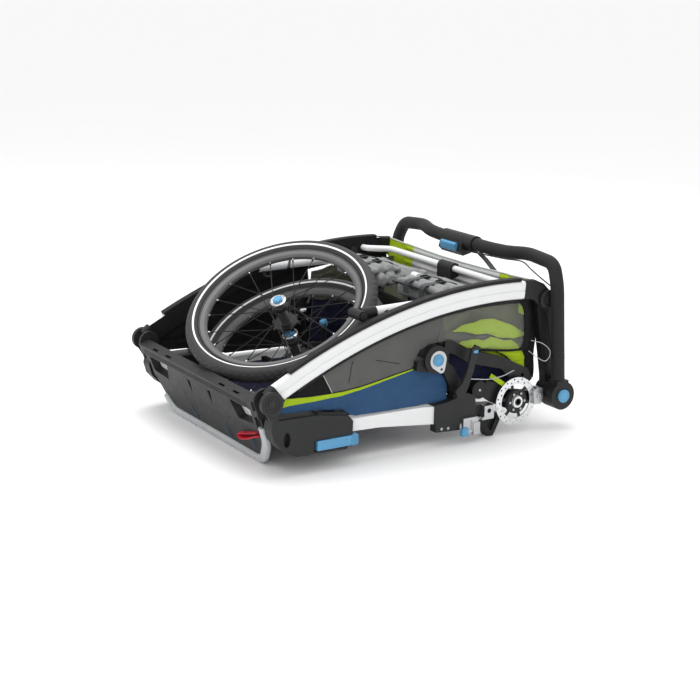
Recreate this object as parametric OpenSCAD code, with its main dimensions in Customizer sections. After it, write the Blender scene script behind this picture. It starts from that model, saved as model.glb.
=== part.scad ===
/* [Overall] */
// Distance from the front knuckle axis to the rear drum axis
frame_len = 843; // [700:1:980]
// Half width over the outer faces of the white side tubes
half_w = 342; // [290:2:400]
// Height of the front knuckle axis above the floor
knuckle_z = 187; // [170:1:205]
// Number of straight pieces along each bent tube
tube_steps = 22; // [12:2:32]

/* [Wheels] */
// Outer diameter of the stowed wheels
wheel_d = 500; // [440:5:520]
// Width of the tyre section
tyre_w = 44; // [32:1:50]
// Height of the tyre section from tread to rim
tyre_h = 37; // [30:1:44]
// Spokes in each wheel
spoke_n = 20; // [12:4:28]
// Spoke wire diameter
spoke_d = 2.4; // [1.8:0.1:3]
// Tilt of the upper wheel away from level
tilt_a = 31.5; // [25:0.5:34]
// Tilt of the lower wheel away from level
tilt_b = 28; // [26:0.5:30]
// Travel of every wheel release button
hub_travel = 5; // [3:0.5:7]

/* [Frame tubes] */
// Height of the curved side tube
side_h = 46; // [36:1:54]
// Thickness of the curved side tube
side_t = 22; // [16:1:28]
// Height of the lower side tube at the front
low_h = 30; // [24:1:40]
// Height of the lower side tube at the bracket
low_h2 = 45; // [34:1:50]
// Diameter of the thin rear cross tube
cross_d = 17; // [12:1:22]
// Diameter of the hinged hoop tube
hoop_d = 26; // [20:1:30]
// Diameter of the foam handlebar
grip_d = 35; // [28:1:40]

/* [Rear axle] */
// Brake rotor diameter
rotor_d = 126; // [110:1:140]
// Brake rotor thickness
rotor_t = 2; // [1.6:0.1:3]
// Holes around the rotor
rotor_holes = 30; // [18:3:36]
// Diameter of the lateral axle tube
axle_d = 46; // [36:1:54]

/* [Pivots] */
// Radial clearance at every turning pin
fit = 0.35; // [0.3:0.05:0.5]
// Radius of the front knuckle
knuckle_r = 29; // [24:1:33]
// Radius of the rear handlebar drum
drum_r = 37; // [30:1:40]
// Push button travel on the drums and hubs
push = 5; // [3:0.5:6]

/* [Hidden] */
$fn = 48;
XK = -428;
XD = XK + frame_len;
ZD = 92;
XT = XD - 40;
ZT = 345;
side_y = half_w - side_t / 2;
pin_r = 8;
black = [0.09, 0.09, 0.1];
charcoal = [0.17, 0.17, 0.18];
white = [0.9, 0.9, 0.91];
silver = [0.75, 0.76, 0.78];
blue = [0.36, 0.68, 0.87];
deep_blue = [0.13, 0.33, 0.55];
lime = [0.66, 0.8, 0.1];
mid_grey = [0.36, 0.37, 0.38];
wheel_ca = [-214, -17, 317.5];
wheel_cb = [-180, -20, 226];
az_a = -151;
az_b = -158;
rim_r = wheel_d / 2 - tyre_h;
panel_o = [-386, 0, 8];
panel_u = [-0.3223, 0, 0.9466];
panel_n = [0.9466, 0, 0.3223];

function unit(v) = v / norm(v);
function disc2(r, n = 20) = [for (i = [0 : n - 1]) r * [cos(360 * i / n), sin(360 * i / n)]];
function slab2(w, h, r, n = 5) = [
  for (q = [[1, 1, 0], [-1, 1, 90], [-1, -1, 180], [1, -1, 270]])
    for (i = [0 : n])
      [q[0] * (w / 2 - r), q[1] * (h / 2 - r)] + r * [cos(q[2] + 90 * i / n), sin(q[2] + 90 * i / n)]
];
function tan_at(p, i) =
  i == 0 ? unit(p[1] - p[0]) :
  i == len(p) - 1 ? unit(p[i] - p[i - 1]) :
  unit(unit(p[i + 1] - p[i]) + unit(p[i] - p[i - 1]));
function ring(p, s, ref, i) =
  let (t = tan_at(p, i), a = unit(cross(ref, t)), b = cross(t, a))
  [for (q = s) p[i] + q[0] * a + q[1] * b];
function bez(a, b, c, d, n) = [
  for (i = [0 : n])
    let (t = i / n, u = 1 - t)
    u * u * u * a + 3 * u * u * t * b + 3 * u * t * t * c + t * t * t * d
];
function round_path(p, r, n = 6) = [
  for (i = [0 : len(p) - 1])
    if (i == 0 || i == len(p) - 1) p[i]
    else
      let (u = unit(p[i - 1] - p[i]), v = unit(p[i + 1] - p[i]))
      each [for (k = [0 : n]) let (t = k / n) p[i] + r * ((1 - t) * (1 - t) * u + t * t * v)]
];

// Closed solid made by carrying the outline s along the path p
module sweep(p, s, ref) {
  m = len(s);
  n = len(p);
  polyhedron(
    points = [for (i = [0 : n - 1]) each ring(p, s, ref, i)],
    faces = concat(
      [[for (j = [0 : m - 1]) j]],
      [[for (j = [m - 1 : -1 : 0]) (n - 1) * m + j]],
      [for (i = [0 : n - 2]) for (j = [0 : m - 1])
        let (k = (j + 1) % m)
        [i * m + j, (i + 1) * m + j, (i + 1) * m + k, i * m + k]]
    ),
    convexity = 6
  );
}

module both() {
  children();
  mirror([0, 1, 0]) children();
}

// Side-on outline (x, z) extruded over a band of y
module slab(y0, y1) {
  translate([0, y1, 0]) rotate([90, 0, 0]) linear_extrude(height = y1 - y0, convexity = 6) children();
}

// Round bar along y
module pin(x, z, r, y0, y1) {
  translate([x, y1, z]) rotate([90, 0, 0]) cylinder(r = r, h = y1 - y0);
}

// Round bar from a to b
module rod(a, b, r) {
  d = b - a;
  translate(a) rotate([0, acos(d[2] / norm(d)), atan2(d[1], d[0])]) cylinder(r = r, h = norm(d), $fn = 12);
}

module block(lo, hi) {
  translate(lo) cube(hi - lo);
}

module on_panel() {
  multmatrix([
    [0, panel_u[0], panel_n[0], panel_o[0]],
    [1, panel_u[1], panel_n[1], panel_o[1]],
    [0, panel_u[2], panel_n[2], panel_o[2]],
    [0, 0, 0, 1]
  ]) children();
}

module at_wheel(c, tilt, az) {
  translate(c) rotate([0, tilt, az]) children();
}

// ---- front end ----
panel_pts = [
  [-222, 2], [-258, 30], [-296, 95], [-303, 190], [303, 190], [296, 95], [258, 30], [222, 2]
];
window_pts = [[-274, 168], [-168, 160], [-188, 112], [-268, 118]];

module front_panel() {
  color(charcoal) difference() {
    union() {
      on_panel() linear_extrude(height = 10) polygon(panel_pts);
      on_panel() translate([0, 0, -7])
        linear_extrude(height = 10) polygon([
          [-281, 100], [-281, 140], [-303, 150], [-303, 172], [303, 172], [303, 150], [281, 140], [281, 100]
        ]);
      on_panel() translate([-303, 166, -13]) cube([606, 24, 30]);
      both() on_panel() translate([-283.6, 106, 5]) cube([125, 60, 15]);
      both() on_panel() translate([-4, 10, 9]) cube([8, 156, 7]);
    }
    both() on_panel() translate([0, 0, -20]) linear_extrude(height = 46) polygon(window_pts);
    both() on_panel() translate([0, 0, -20])
      linear_extrude(height = 22) polygon([[-64, 150], [-46, 146], [-54, 108]]);
    on_panel() for (k = [0 : 2]) translate([-280, 170 + 5 * k, -14.5]) cube([560, 2.2, 3]);
    for (y = [-232, -160, 130, 204]) on_panel() translate([y, 176, -8]) cube([28, 30, 7]);
    translate([-500, -400, -50]) cube([1000, 800, 50]);
  }
}

module reflectors() {
  color([0.8, 0.81, 0.83]) both() on_panel() translate([0, 0, 14])
    linear_extrude(height = 4) offset(delta = -0.4) polygon(window_pts);
}

bumper_path = round_path([
  [-297, 132], [-291, 72], [-240, 3], [240, 3], [291, 72], [297, 132]
], 26, 5);

module bumper_strip() {
  color([0.72, 0.73, 0.74]) difference() {
    sweep([for (q = bumper_path) panel_o + [0, q[0], 0] + q[1] * panel_u - 9.5 * panel_n],
      slab2(22, 18, 6, 4), panel_n);
    translate([-500, -400, -50]) cube([1000, 800, 50]);
  }
}

module front_knuckles() {
  color(black) both() difference() {
    union() {
      pin(XK, knuckle_z, knuckle_r, -half_w - 10, -half_w + 2);
      pin(XK, knuckle_z, pin_r + 2, -half_w + 1, -303.4);
      pin(XK, knuckle_z, knuckle_r - 2, -half_w + 30.5, -303.4);
      slab(-half_w + 30.5, -303.4)
        polygon([[XK - 14, 142.6], [XK - 27, 185], [XK + 10, 170], [XK + 30, 142.6]]);
      slab(-half_w - 6, -half_w + 2)
        polygon([[XK - 2, 142.6], [XK - 22, 176], [XK + 22, 176], [XK + 16, 142.6]]);
    }
    for (r = [12, 19]) translate([XK, -half_w - 8.5, knuckle_z]) rotate([90, 0, 0])
      difference() {
        cylinder(r = r + 1.2, h = 3);
        translate([0, 0, -1]) cylinder(r = r - 1.2, h = 5);
      }
  }
}

module pull_loop() {
  color([0.75, 0.06, 0.1]) on_panel() translate([0, 0, -5.6]) difference() {
    linear_extrude(height = 5.2)
      polygon([[-276, 98], [-270, 76], [-190, 50], [-168, 52], [-166, 66], [-186, 73]]);
    translate([0, 0, 1.6]) linear_extrude(height = 2)
      polygon([[-270, 110], [-270, 70], [-186, 40], [-174, 44], [-172, 80], [-186, 84]]);
  }
}

module panel_cords() {
  color(blue) on_panel() for (q = [[-78, 58, -94, 22], [108, 58, 92, 22], [-214, 56, -222, 38]])
    translate([0, 0, -1.25]) hull() {
      translate([q[0], q[1], 0]) cylinder(d = 2.2, h = 1.2);
      translate([q[2], q[3], 0]) cylinder(d = 2.2, h = 1.2);
    }
}

// ---- receivers, lower side tubes and rear brackets ----
module receivers() {
  y0 = -half_w - 4;
  color(charcoal) both() difference() {
    union() {
      slab(y0, y0 + 62) polygon([
        [-428, 120], [-424, 142], [-300, 140], [-216, 126], [-204, 112],
        [-206, 60], [-222, 44], [-360, 48], [-396, 66], [-420, 92]
      ]);
      slab(y0 + 6, y0 + 54) polygon([[-300, 139], [-300, 145], [-222, 134], [-216, 126]]);
    }
    translate([-262, y0 + 30, 100]) scale([1, 0.62, 1]) cylinder(d = 46, h = 60);
    translate([-386, y0 - 1, 92]) rotate([-90, 0, 0]) scale([0.62, 1.2, 1]) cylinder(d = 30, h = 16);
    block([-312, y0 - 1, 51], [-203, y0 + 12, 79]);
    slab(y0 + 12, y0 + 50) polygon([[-240, 78], [-240, 118.2], [-190, 113.5], [-190, 78]]);
    on_panel() translate([-309.4, -30, -60]) cube([618.8, 230, 70.4]);
    for (x = [-408, -330]) translate([x, y0 + 74, 118]) rotate([90, 0, 0]) cylinder(d = 5, h = 20);
  }
}

module latch(s) {
  y0 = -half_w - 4;
  color(blue) scale([1, s, 1]) difference() {
    union() {
      block([-304, y0 - 3, 53], [-208, y0 + 11.5, 77]);
      block([-209, y0 - 5, 52], [-192, y0 + 11.5, 78]);
    }
    for (k = [0 : 3]) block([-206 + 3.4 * k, y0 - 6, 50], [-204.6 + 3.4 * k, y0 - 3.6, 80]);
    block([-296, y0 - 4, 57], [-222, y0 - 1.8, 73]);
  }
}

module latch_near() {
  latch(1);
}

module latch_far() {
  latch(-1);
}

module lower_tubes() {
  x1 = XD - 374;
  y0 = -half_w + 8;
  color(white) both() difference() {
    slab(y0, y0 + 30) polygon([
      [-239, 98 - low_h / 2], [-239, 99 + low_h / 2 - 4], [-230, 98 + low_h / 2],
      [x1 - 40, 88 + low_h2 / 2], [x1, 84 + low_h2 / 2], [x1, 84 - low_h2 / 2], [-120, 94 - low_h / 2]
    ]);
    slab(y0 + 3, y0 + 27) polygon([[-250, 91], [-250, 104], [x1 + 9, 100], [x1 + 9, 72]]);
  }
}

module rear_brackets() {
  x0 = XD - 373.6;
  y0 = -half_w + 2;
  color(black) both() difference() {
    union() {
      slab(y0, y0 + 40) polygon([
        [x0, 58], [x0, 111], [x0 + 34, 114], [x0 + 96, 130], [x0 + 122, 118], [x0 + 126, 60], [x0 + 96, 50]
      ]);
      slab(y0, y0 + 24) polygon([[x0 + 2, 40], [x0 + 2, 59], [x0 + 76, 55], [x0 + 76, 36]]);
      slab(y0 + 12, y0 + 40) polygon([[x0 + 112, 60], [x0 + 112, 92], [x0 + 190, 84], [x0 + 190, 62]]);
    }
    pin(XD - 236, 130, axle_d / 2 + 0.3, -400, 400);
    for (q = [[20, 47], [40, 46]]) translate([x0 + q[0], y0 + 3, q[1]]) rotate([90, 0, 0])
      cylinder(d = 8, h = 10);
  }
}

module bracket_hardware() {
  x0 = XD - 373.6;
  x1 = XD - 292;
  x2 = XD - 250;
  y0 = -half_w + 2;
  y1 = -half_w - 6;
  y2 = -half_w - 2;
  color(silver) both() {
    for (q = [[20, 47], [40, 46]]) translate([x0 + q[0], y0 + 2.7, q[1]])
      rotate([90, 0, 0]) difference() {
        cylinder(d = 7.4, h = 3.4);
        translate([0, 0, 1.6]) cylinder(d = 3.4, h = 4, $fn = 6);
      }
    difference() {
      union() {
        block([x1, y1, 26], [x1 + 44, y1 + 7.6, 66]);
        block([x1 + 30, y1 - 3, 20], [x1 + 50, y1 + 7.6, 52]);
        block([x1 + 4, y1 + 4, 34], [x1 + 40, y1 + 26, 35.7]);
      }
      block([x1 + 8, y1 - 1, 34], [x1 + 26, y1 + 3, 58]);
    }
    difference() {
      union() {
        block([x2, y2, 52], [x2 + 56, y2 + 15.6, 59]);
        block([x2 + 26, y2, 58], [x2 + 56, y2 + 15.6, 88]);
      }
      block([x2 + 8, y2 - 1, 50], [x2 + 20, y2 + 9, 62]);
      pin(x2 + 41, 74, 6, y2 - 1, y2 + 30);
    }
  }
}

module feet() {
  x0 = XD - 192;
  y0 = -half_w + 14;
  color(black) both() difference() {
    slab(y0, y0 + 28) polygon([
      [x0 - 38, 52], [x0 - 38, 60.4], [x0 + 8, 61.6], [x0 + 32, 56], [x0 + 34, 46],
      [x0 + 10, 0], [x0 - 6, 0]
    ]);
    slab(y0 - 1, y0 + 8) polygon([[x0 - 22, 50], [x0 + 20, 50], [x0 + 4, 14], [x0, 14]]);
  }
}

// ---- rear axle ----
module axle_tube() {
  color(black) difference() {
    pin(XD - 236, 130, axle_d / 2, -half_w + 6, half_w - 6);
    both() {
      pin(XD - 236, 130, 3, -half_w + 5, -half_w + 12);
      difference() {
        pin(XD - 236, 130, 18, -half_w + 5, -half_w + 7);
        pin(XD - 236, 130, 16, -half_w + 4, -half_w + 9);
      }
    }
  }
}

module axle_arms() {
  x0 = XD - 123;
  y0 = -half_w + 14;
  color(black) both() difference() {
    union() {
      slab(y0, y0 + 20) polygon([
        [x0 - 96, 108], [x0 - 86, 148], [x0 - 60, 142], [x0 - 6, 112], [x0 + 34, 104], [x0 + 66, 104],
        [x0 + 66, 76], [x0 + 30, 66], [x0 - 6, 60], [x0 - 60, 84.5]
      ]);
      pin(x0, 86, 25, y0 - 3, y0 + 30);
      pin(x0, 86, 9, y0 - 24, y0);
    }
    pin(x0, 86, 6.1, y0 - 25, y0 + 31);
    pin(XD - 236, 130, axle_d / 2 + 0.3, -400, 400);
  }
}

module rotor(s) {
  x0 = XD - 123;
  y0 = -half_w + 2;
  color(silver) scale([1, s, 1]) difference() {
    union() {
      pin(x0, 86, rotor_d / 2, y0 - rotor_t / 2, y0 + rotor_t / 2);
      pin(x0, 86, 31, y0 - 6, y0 + 6);
      pin(x0, 86, 15, y0 - 11, y0 + 8);
      for (k = [0 : 5]) translate([x0, 0, 86]) rotate([0, 60 * k, 0]) pin(23, 0, 4, y0 - 7.5, y0);
    }
    difference() {
      pin(x0, 86, rotor_d / 2 - 18, y0 - 3, y0 + 3);
      pin(x0, 86, 32, y0 - 9, y0 + 9);
      for (k = [0 : 5]) translate([x0, 0, 86]) rotate([0, 60 * k + 12, 0])
        block([26, y0 - 4, -4], [rotor_d / 2, y0 + 4, 4]);
    }
    for (k = [0 : rotor_holes - 1]) translate([x0, 0, 86]) rotate([0, 360 / rotor_holes * k, 0])
      pin(rotor_d / 2 - (k % 2 == 0 ? 5 : 12), 0, 2.2, y0 - 3, y0 + 3, $fn = 16);
    pin(x0, 86, 9 + fit, y0 - 30, y0 + 30);
  }
}

module rotor_near() {
  rotor(1);
}

module rotor_far() {
  rotor(-1);
}

module calipers() {
  x0 = XD - 57;
  y0 = -half_w + 2;
  color(silver) both() difference() {
    union() {
      slab(y0 - 11, y0 + 11.6) polygon([
        [x0 - 12, 72], [x0 - 16, 104], [x0 - 4, 116], [x0 + 14, 112], [x0 + 17, 84], [x0 + 8, 70]
      ]);
      pin(x0 + 3, 92, 8, y0 - 15, y0 - 9);
    }
    block([x0 - 40, y0 - rotor_t / 2 - 0.7, 40], [x0 + 8, y0 + rotor_t / 2 + 0.7, 140]);
    translate([x0 + 3, y0 - 12.5, 92]) rotate([90, 0, 0]) cylinder(d = 6, h = 4, $fn = 6);
  }
}

// ---- fold hub at mid length ----
XH = XD - 380;
ZH = 231;

module fold_hubs() {
  y0 = -half_w - 6;
  color(black) both() difference() {
    union() {
      pin(XH, ZH, 35, y0, y0 + 44);
      slab(y0 + 8, y0 + 42) polygon([
        [XH - 34, ZH + 6], [XH - 52, ZH - 2], [XH - 54, ZH - 24], [XH - 20, ZH - 32]
      ]);
      slab(y0 + 12, y0 + 40) polygon([
        [XH + 6, ZH - 24], [XH + 32, ZH - 44], [XH + 64, 130], [XH + 62, 119.9], [XH + 86, 126.1],
        [XH + 92, 150], [XH + 60, ZH - 30], [XH + 34, ZH - 6]
      ]);
      pin(XH + 67, 142, 12, y0 - 3.4, y0 + 24);
    }
    pin(XH + 67, 142, 6 + fit, y0 - 9, y0 + 18.4);
    pin(XH + 4, ZH - 2, 15 + fit, y0 - 1, y0 + 14);
    slab(y0 - 1, y0 + 1.6) hub_plate(0.3);
  }
}

module hub_plate(grow) {
  offset(delta = grow) hull() {
    translate([XH + 4, ZH - 2]) circle(r = 24);
    translate([XH + 14, ZH - 26]) circle(r = 10);
  }
}

module hub_plates() {
  y0 = -half_w - 6;
  color(silver) both() difference() {
    slab(y0 - 1.2, y0 + 1.4) hub_plate(0);
    pin(XH + 4, ZH - 2, 15 + fit, y0 - 3, y0 + 5);
    pin(XH + 14, ZH - 26, 3.4, y0 - 3, y0 + 5);
  }
}

module hub_button(s) {
  y0 = -half_w - 6;
  color(blue) scale([1, s, 1]) difference() {
    union() {
      pin(XH + 4, ZH - 2, 15, y0 - 4, y0 + 7);
      pin(XH + 4, ZH - 2, 6, y0 - 5, y0);
    }
    difference() {
      pin(XH + 4, ZH - 2, 12, y0 - 5, y0 - 2.8);
      pin(XH + 4, ZH - 2, 9, y0 - 6, y0);
    }
  }
}

module hub_button_near() {
  hub_button(1);
}

module hub_button_far() {
  hub_button(-1);
}

module suspension_bars() {
  y0 = -half_w + 12;
  color(black) both() slab(y0, y0 + 22) difference() {
    polygon([
      [XH + 35, ZH + 4.8], [XH + 36, ZH + 36], [XH + 62, ZH + 36], [XH + 118, ZH + 5],
      [XH + 222, ZH - 28], [XH + 300, ZH - 66], [XH + 316, ZH - 96],
      [XH + 300, ZH - 108], [XH + 262, ZH - 98], [XH + 232, ZH - 72],
      [XH + 214, ZH - 56], [XH + 112, ZH - 28], [XH + 60, ZH + 4]
    ]);
    translate([XH + 284, ZH - 82]) circle(r = 5);
  }
}

module side_lever(s) {
  y0 = -half_w - 10;
  color(black) scale([1, s, 1]) difference() {
    union() {
      slab(y0 - 8, y0) polygon([
        [XH + 57, 128], [XH + 52, 146], [XH + 72, 164], [XH + 86, 196], [XH + 98, 246], [XH + 110, 257],
        [XH + 124, 250], [XH + 116, 238], [XH + 104, 190], [XH + 90, 152], [XH + 78, 128]
      ]);
      pin(XH + 67, 142, 6, y0 - 8.8, y0 + 21);
    }
    slab(y0 - 9, y0 - 6.8) polygon([
      [XH + 102.5, 235], [XH + 106, 245], [XH + 117.5, 243.5], [XH + 112.5, 234]
    ]);
  }
}

module side_lever_near() {
  side_lever(1);
}

module side_lever_far() {
  side_lever(-1);
}

// ---- fabric of the cabin, simple closed solids ----
module side_panels() {
  y0 = -half_w + 18;
  color(mid_grey) both() slab(y0, y0 + 4) polygon([
    [-372, 192], [-344, 204.5], [-338, 213], [-238, 257], [-69, 308], [-8, 316], [XH - 48, 250],
    [XH - 58, 228],
    [-118, 202], [-231, 189], [-372, 189]
  ]);
}

module side_skirts() {
  y0 = -half_w + 14;
  color(deep_blue) both() slab(y0, y0 + 7) polygon([
    [-394, 180], [-386, 185], [-372, 188.5], [-231, 188.5], [-118, 201.5], [-38, 209], [XH - 56, 203],
    [XH - 14, 190], [XH + 20, 150], [XH + 2, 116],
    [-60, 124], [-200, 130], [-216, 146.2], [-390, 146.2], [-402, 168]
  ]);
}

module side_folds() {
  y0 = -half_w + 34.3;
  color(lime) both() slab(y0, y0 + 34) polygon([
    [XD - 330, 268], [XD - 300, 290], [XD - 210, 294], [XD - 130, 270], [XD - 84, 226], [XD - 78, 176],
    [XD - 110, 160], [XD - 210, 178], [XD - 300, 222]
  ]);
}

module floor_panel() {
  color(deep_blue) difference() {
    block([-392, -half_w + 58.3, 78], [XD - 262, half_w - 58.3, 84]);
    both() pin(-392, 81, 4, -400, -half_w + 70);
  }
}

// Struts that carry the seat backs, and the floor rails and crossbar under the lower wheel
module seat_frame() {
  x0 = XD - 188;
  color(black) {
    for (y = [-226, -52, 40, 214]) difference() {
      slab(y, y + 12) polygon([
        [x0 - 58, 140], [x0 - 34, 158], [x0 - 2, 270], [x0 - 12, 305], [x0 + 54, 305], [x0 + 28, 284],
        [x0 - 8, 136]
      ]);
      pin(XD - 236, 130, axle_d / 2 + 0.3, -400, 400);
      pin(x0 + 10, 282, 6, -400, 400);
    }
    for (y = [-152, 176]) block([-280, y, 84.3], [150, y + 12, 104]);
    for (y = [-152, 176]) block([-156, y, 103], [-142, y + 12, 138]);
    block([-156, -152, 124], [-142, 188, 138]);
  }
}

module seat_pads() {
  x0 = XD - 300;
  color(mid_grey) for (s = [-1, 1]) translate([0, 148 * s, 0]) {
    sweep([[x0, 0, 318.4], [x0 + 166, 0, 318.4]], slab2(236, 26, 11, 4), [0, 0, 1]);
    sweep([[x0 - 14, 0, 339.4], [x0 + 88, 0, 339.4]], slab2(206, 15, 7, 4), [0, 0, 1]);
  }
}

// ---- hinged upper frame ----
tube_a = [XK + 55, 0, knuckle_z + 36];
tube_d = [XT - 53, 0, ZT + 28];
tube_l = (tube_d[0] - tube_a[0]) / 3;
tube_path = bez(tube_a, tube_a + tube_l * [1, 0, 0.51], tube_d - tube_l * [1, 0, -0.07], tube_d, tube_steps);

module side_tubes() {
  color(white) both() difference() {
    sweep([for (p = tube_path) p + [0, -side_y, 0]], slab2(side_h, side_t, 8, 5), [0, 1, 0]);
    sweep([for (p = tube_path) p + [0, -half_w, 0]], slab2(2.4, 3, 0.8, 2), [0, 1, 0]);
    sweep([for (p = tube_path) p + [0, -half_w + side_t, 0]], slab2(16, 7, 2, 2), [0, 1, 0]);
  }
}

// Dark piping that holds the fabric to the upper and lower edge of each side tube
module tube_channels() {
  function edge(k, y) = [
    for (i = [1 : tube_steps - 1]) tube_path[i] + [0, y, 0] + k * cross(tan_at(tube_path, i), [0, 1, 0])
  ];
  color(black) both() {
    sweep(edge(side_h / 2 + 4.8, -side_y - 1), slab2(9, 12, 3, 3), [0, 1, 0]);
    sweep(edge(-side_h / 2 - 4.8, -side_y + 1), slab2(9, 8, 3, 3), [0, 1, 0]);
  }
}

module front_sockets() {
  a = tube_a;
  color(black) both() difference() {
    union() {
      pin(XK, knuckle_z, knuckle_r - 1, -half_w + 2.4, -half_w + 30);
      sweep([[XK + 4, -side_y - 1, knuckle_z + 8], a + [-30, -side_y, -14], a + [14, -side_y, 7]],
        slab2(side_h + 7, side_t + 5, 8, 4), [0, 1, 0]);
    }
    pin(XK, knuckle_z, pin_r + 2 + fit, -half_w - 20, -280);
    sweep([for (i = [0 : 2]) tube_path[i] + [0, -side_y, 0]],
      slab2(side_h + 0.7, side_t + 0.7, 8, 5), [0, 1, 0]);
    pin(XK, knuckle_z, knuckle_r + 3, -half_w - 20, -half_w + 2.4);
    pin(XK, knuckle_z, knuckle_r + 3, -half_w + 30, -280);
    block([XK - 60, -400, 100], [XK + 60, -260, knuckle_z - 22]);
  }
}

module rear_sockets() {
  d = tube_d;
  color(black) both() difference() {
    union() {
      sweep([
        d + [-16, 1.4 - side_y, 1.2], d + [14, 1.4 - side_y, -1], d + [34, 1.4 - side_y, -10],
        [XT, 1.4 - side_y, ZT - 1]
      ],
        slab2(side_h + 5, side_t + 4, 8, 4), [0, 1, 0]);
      pin(XT, ZT, 25, -half_w - 0.6, -half_w + 10.6);
      pin(XT, ZT, pin_r, -half_w + 8, -half_w + 36);
    }
    sweep([for (i = [tube_steps - 2 : tube_steps]) tube_path[i] + [0, -side_y, 0]],
      slab2(side_h + 0.7, side_t + 0.7, 8, 5), [0, 1, 0]);
    difference() {
      pin(XT, ZT, 15, -half_w - 3, -half_w + 0.6);
      pin(XT, ZT, 12, -half_w - 4, -half_w + 1);
    }
    difference() {
      block([XT - 30, -half_w + 10.6, ZT - 60], [XT + 50, -half_w + 60, ZT + 60]);
      pin(XT, ZT, pin_r, -half_w, -half_w + 50);
    }
  }
}

module cross_tube() {
  color(white) sweep(round_path([
    [XD - 168, -half_w + side_t + 0.4, 375], [XD - 168, -half_w + side_t + 16, 375],
    [XD - 112, -half_w + 84, 375], [XD - 112, half_w - 84, 375],
    [XD - 168, half_w - side_t - 16, 375], [XD - 168, half_w - side_t - 0.4, 375]
  ], 14, 5), disc2(cross_d / 2), [0, 0, 1]);
}

module cross_clamp() {
  x0 = XD - 112;
  color(black) difference() {
    union() {
      pin(x0, 375, 15, -46, 14);
      slab(-46, 14) polygon([[x0 - 15, 375], [x0 + 15, 375], [x0 + 14, 352], [x0 - 15, 346]]);
      slab(-34, 2) polygon([[x0 - 12, 352], [x0 + 6, 350], [x0 + 2, 334], [x0 - 16, 330]]);
    }
    pin(x0, 375, cross_d / 2 + 0.3, -100, 100);
  }
}

module rear_panel() {
  x0 = XD - 78;
  color(mid_grey) difference() {
    slab(-half_w + 25.8, half_w - 25.8) polygon([
      [x0 - 4, 300], [x0 - 9, 330], [x0 - 6, 392], [x0 + 2, 395], [x0 + 4, 330], [x0 + 4, 300]
    ]);
    for (z = [318, 338, 358]) translate([x0 + 4.5, -half_w + 40, z]) rotate([0, 45, 0])
      cube([2, 2 * half_w - 80, 2]);
  }
}

module windows() {
  y0 = -half_w + side_t + 0.3;
  color([0.75, 0.8, 0.82]) both() slab(y0, y0 + 2.2) polygon([
    [XH + 14, 340], [XH + 60, 348], [XD - 240, 355], [XD - 113, 356], [XD - 112, 345], [XD - 87, 342],
    [XD - 79, 332], [XD - 75, 318], [XD - 81, 252], [XD - 90, 242], [XH + 72, 270], [XH + 30, 282]
  ]);
}

// ---- uprights and handlebar ----
module uprights() {
  y0 = -half_w + 11;
  color(black) both() difference() {
    union() {
      slab(y0, y0 + 22) polygon([
        [XT - 20, ZT - 8], [XT - 12, ZT + 16], [XT + 8, ZT + 20], [XT + 22, ZT - 2],
        [XD + 22, ZD + 30], [XD + 18, ZD - 8], [XD - 20, ZD - 8], [XD - 24, ZD + 46]
      ]);
      pin(XD, ZD, drum_r - 1.5, y0, y0 + 24);
      pin(XD, ZD, 10, y0 - 26, y0 + 1);
    }
    pin(XT, ZT, pin_r + fit, -400, -200);
    slab(y0 - 1, y0 + 1.5) polygon([
      [XT - 8, ZT - 34], [XT + 12, ZT - 34], [XD + 8, ZD + 60], [XD - 12, ZD + 60]
    ]);
  }
}

grip_y = half_w + 19;
post_top = [XD - 21, 372];
grip_near = round_path([
  [XD - 2, -grip_y, ZD + 22], [post_top[0], -grip_y, 380], [XD - 14, -grip_y + 26, 432],
  [XD - 16, -236, 441], [XD - 36, -176, 436], [XD - 41, -110, 434], [XD - 41, 0, 434]
], 24, 6);
post_u = unit(grip_near[1] - grip_near[0]);
grip_path = concat(
  grip_near,
  [for (i = [len(grip_near) - 2 : -1 : 0]) [grip_near[i][0], -grip_near[i][1], grip_near[i][2]]]
);

module handlebar() {
  color(black) sweep(grip_path, disc2(grip_d / 2, 24), [1, 0, 0]);
}

module bar_drums() {
  y1 = -half_w + 10.6;
  y0 = -grip_y - grip_d / 2 - 2;
  color(black) both() difference() {
    union() {
      pin(XD, ZD, drum_r, y0, y1);
      slab(-grip_y - grip_d / 2 - 1, -grip_y + grip_d / 2) polygon([
        [XD - 20, ZD], [XD - 20, ZD + 40], [XD + 17, ZD + 40], [XD + 20, ZD]
      ]);
    }
    pin(XD, ZD, 10 + fit, y0 + 8, y1 + 5);
    pin(XD, ZD, 17 + fit, y0 - 1, y0 + 12);
    sweep([grip_near[0] - 0.4 * post_u, grip_near[0] + 110 * post_u], disc2(grip_d / 2 + 0.3, 24), [1, 0, 0]);
  }
}

module drum_button(s) {
  y0 = -grip_y - grip_d / 2 - 2;
  color(blue) scale([1, s, 1]) difference() {
    pin(XD, ZD, 17, y0 - 5, y0 + 6);
    difference() {
      pin(XD, ZD, 13, y0 - 6, y0 - 4);
      pin(XD, ZD, 11, y0 - 7, y0 - 3);
    }
  }
}

module drum_button_near() {
  drum_button(1);
}

module drum_button_far() {
  drum_button(-1);
}

module brake_housing() {
  x0 = XD - 41;
  r = grip_d / 2 + 0.3;
  color(black) difference() {
    union() {
      pin(x0, 434, r + 4, -44, 96);
      slab(-10, 88) polygon([[x0 - 23, 434], [x0 + 12, 440], [x0 + 8, 404], [x0 - 18, 398], [x0 - 30, 410]]);
    }
    pin(x0, 434, r, -100, 120);
    slab(6, 74) polygon([
      [x0 - 40, 407.7], [x0 - 40, 432.3], [x0 - 19.2, 432.3], [x0 - 15.6, 412], [x0 - 15.6, 407.7]
    ]);
  }
}

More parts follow.
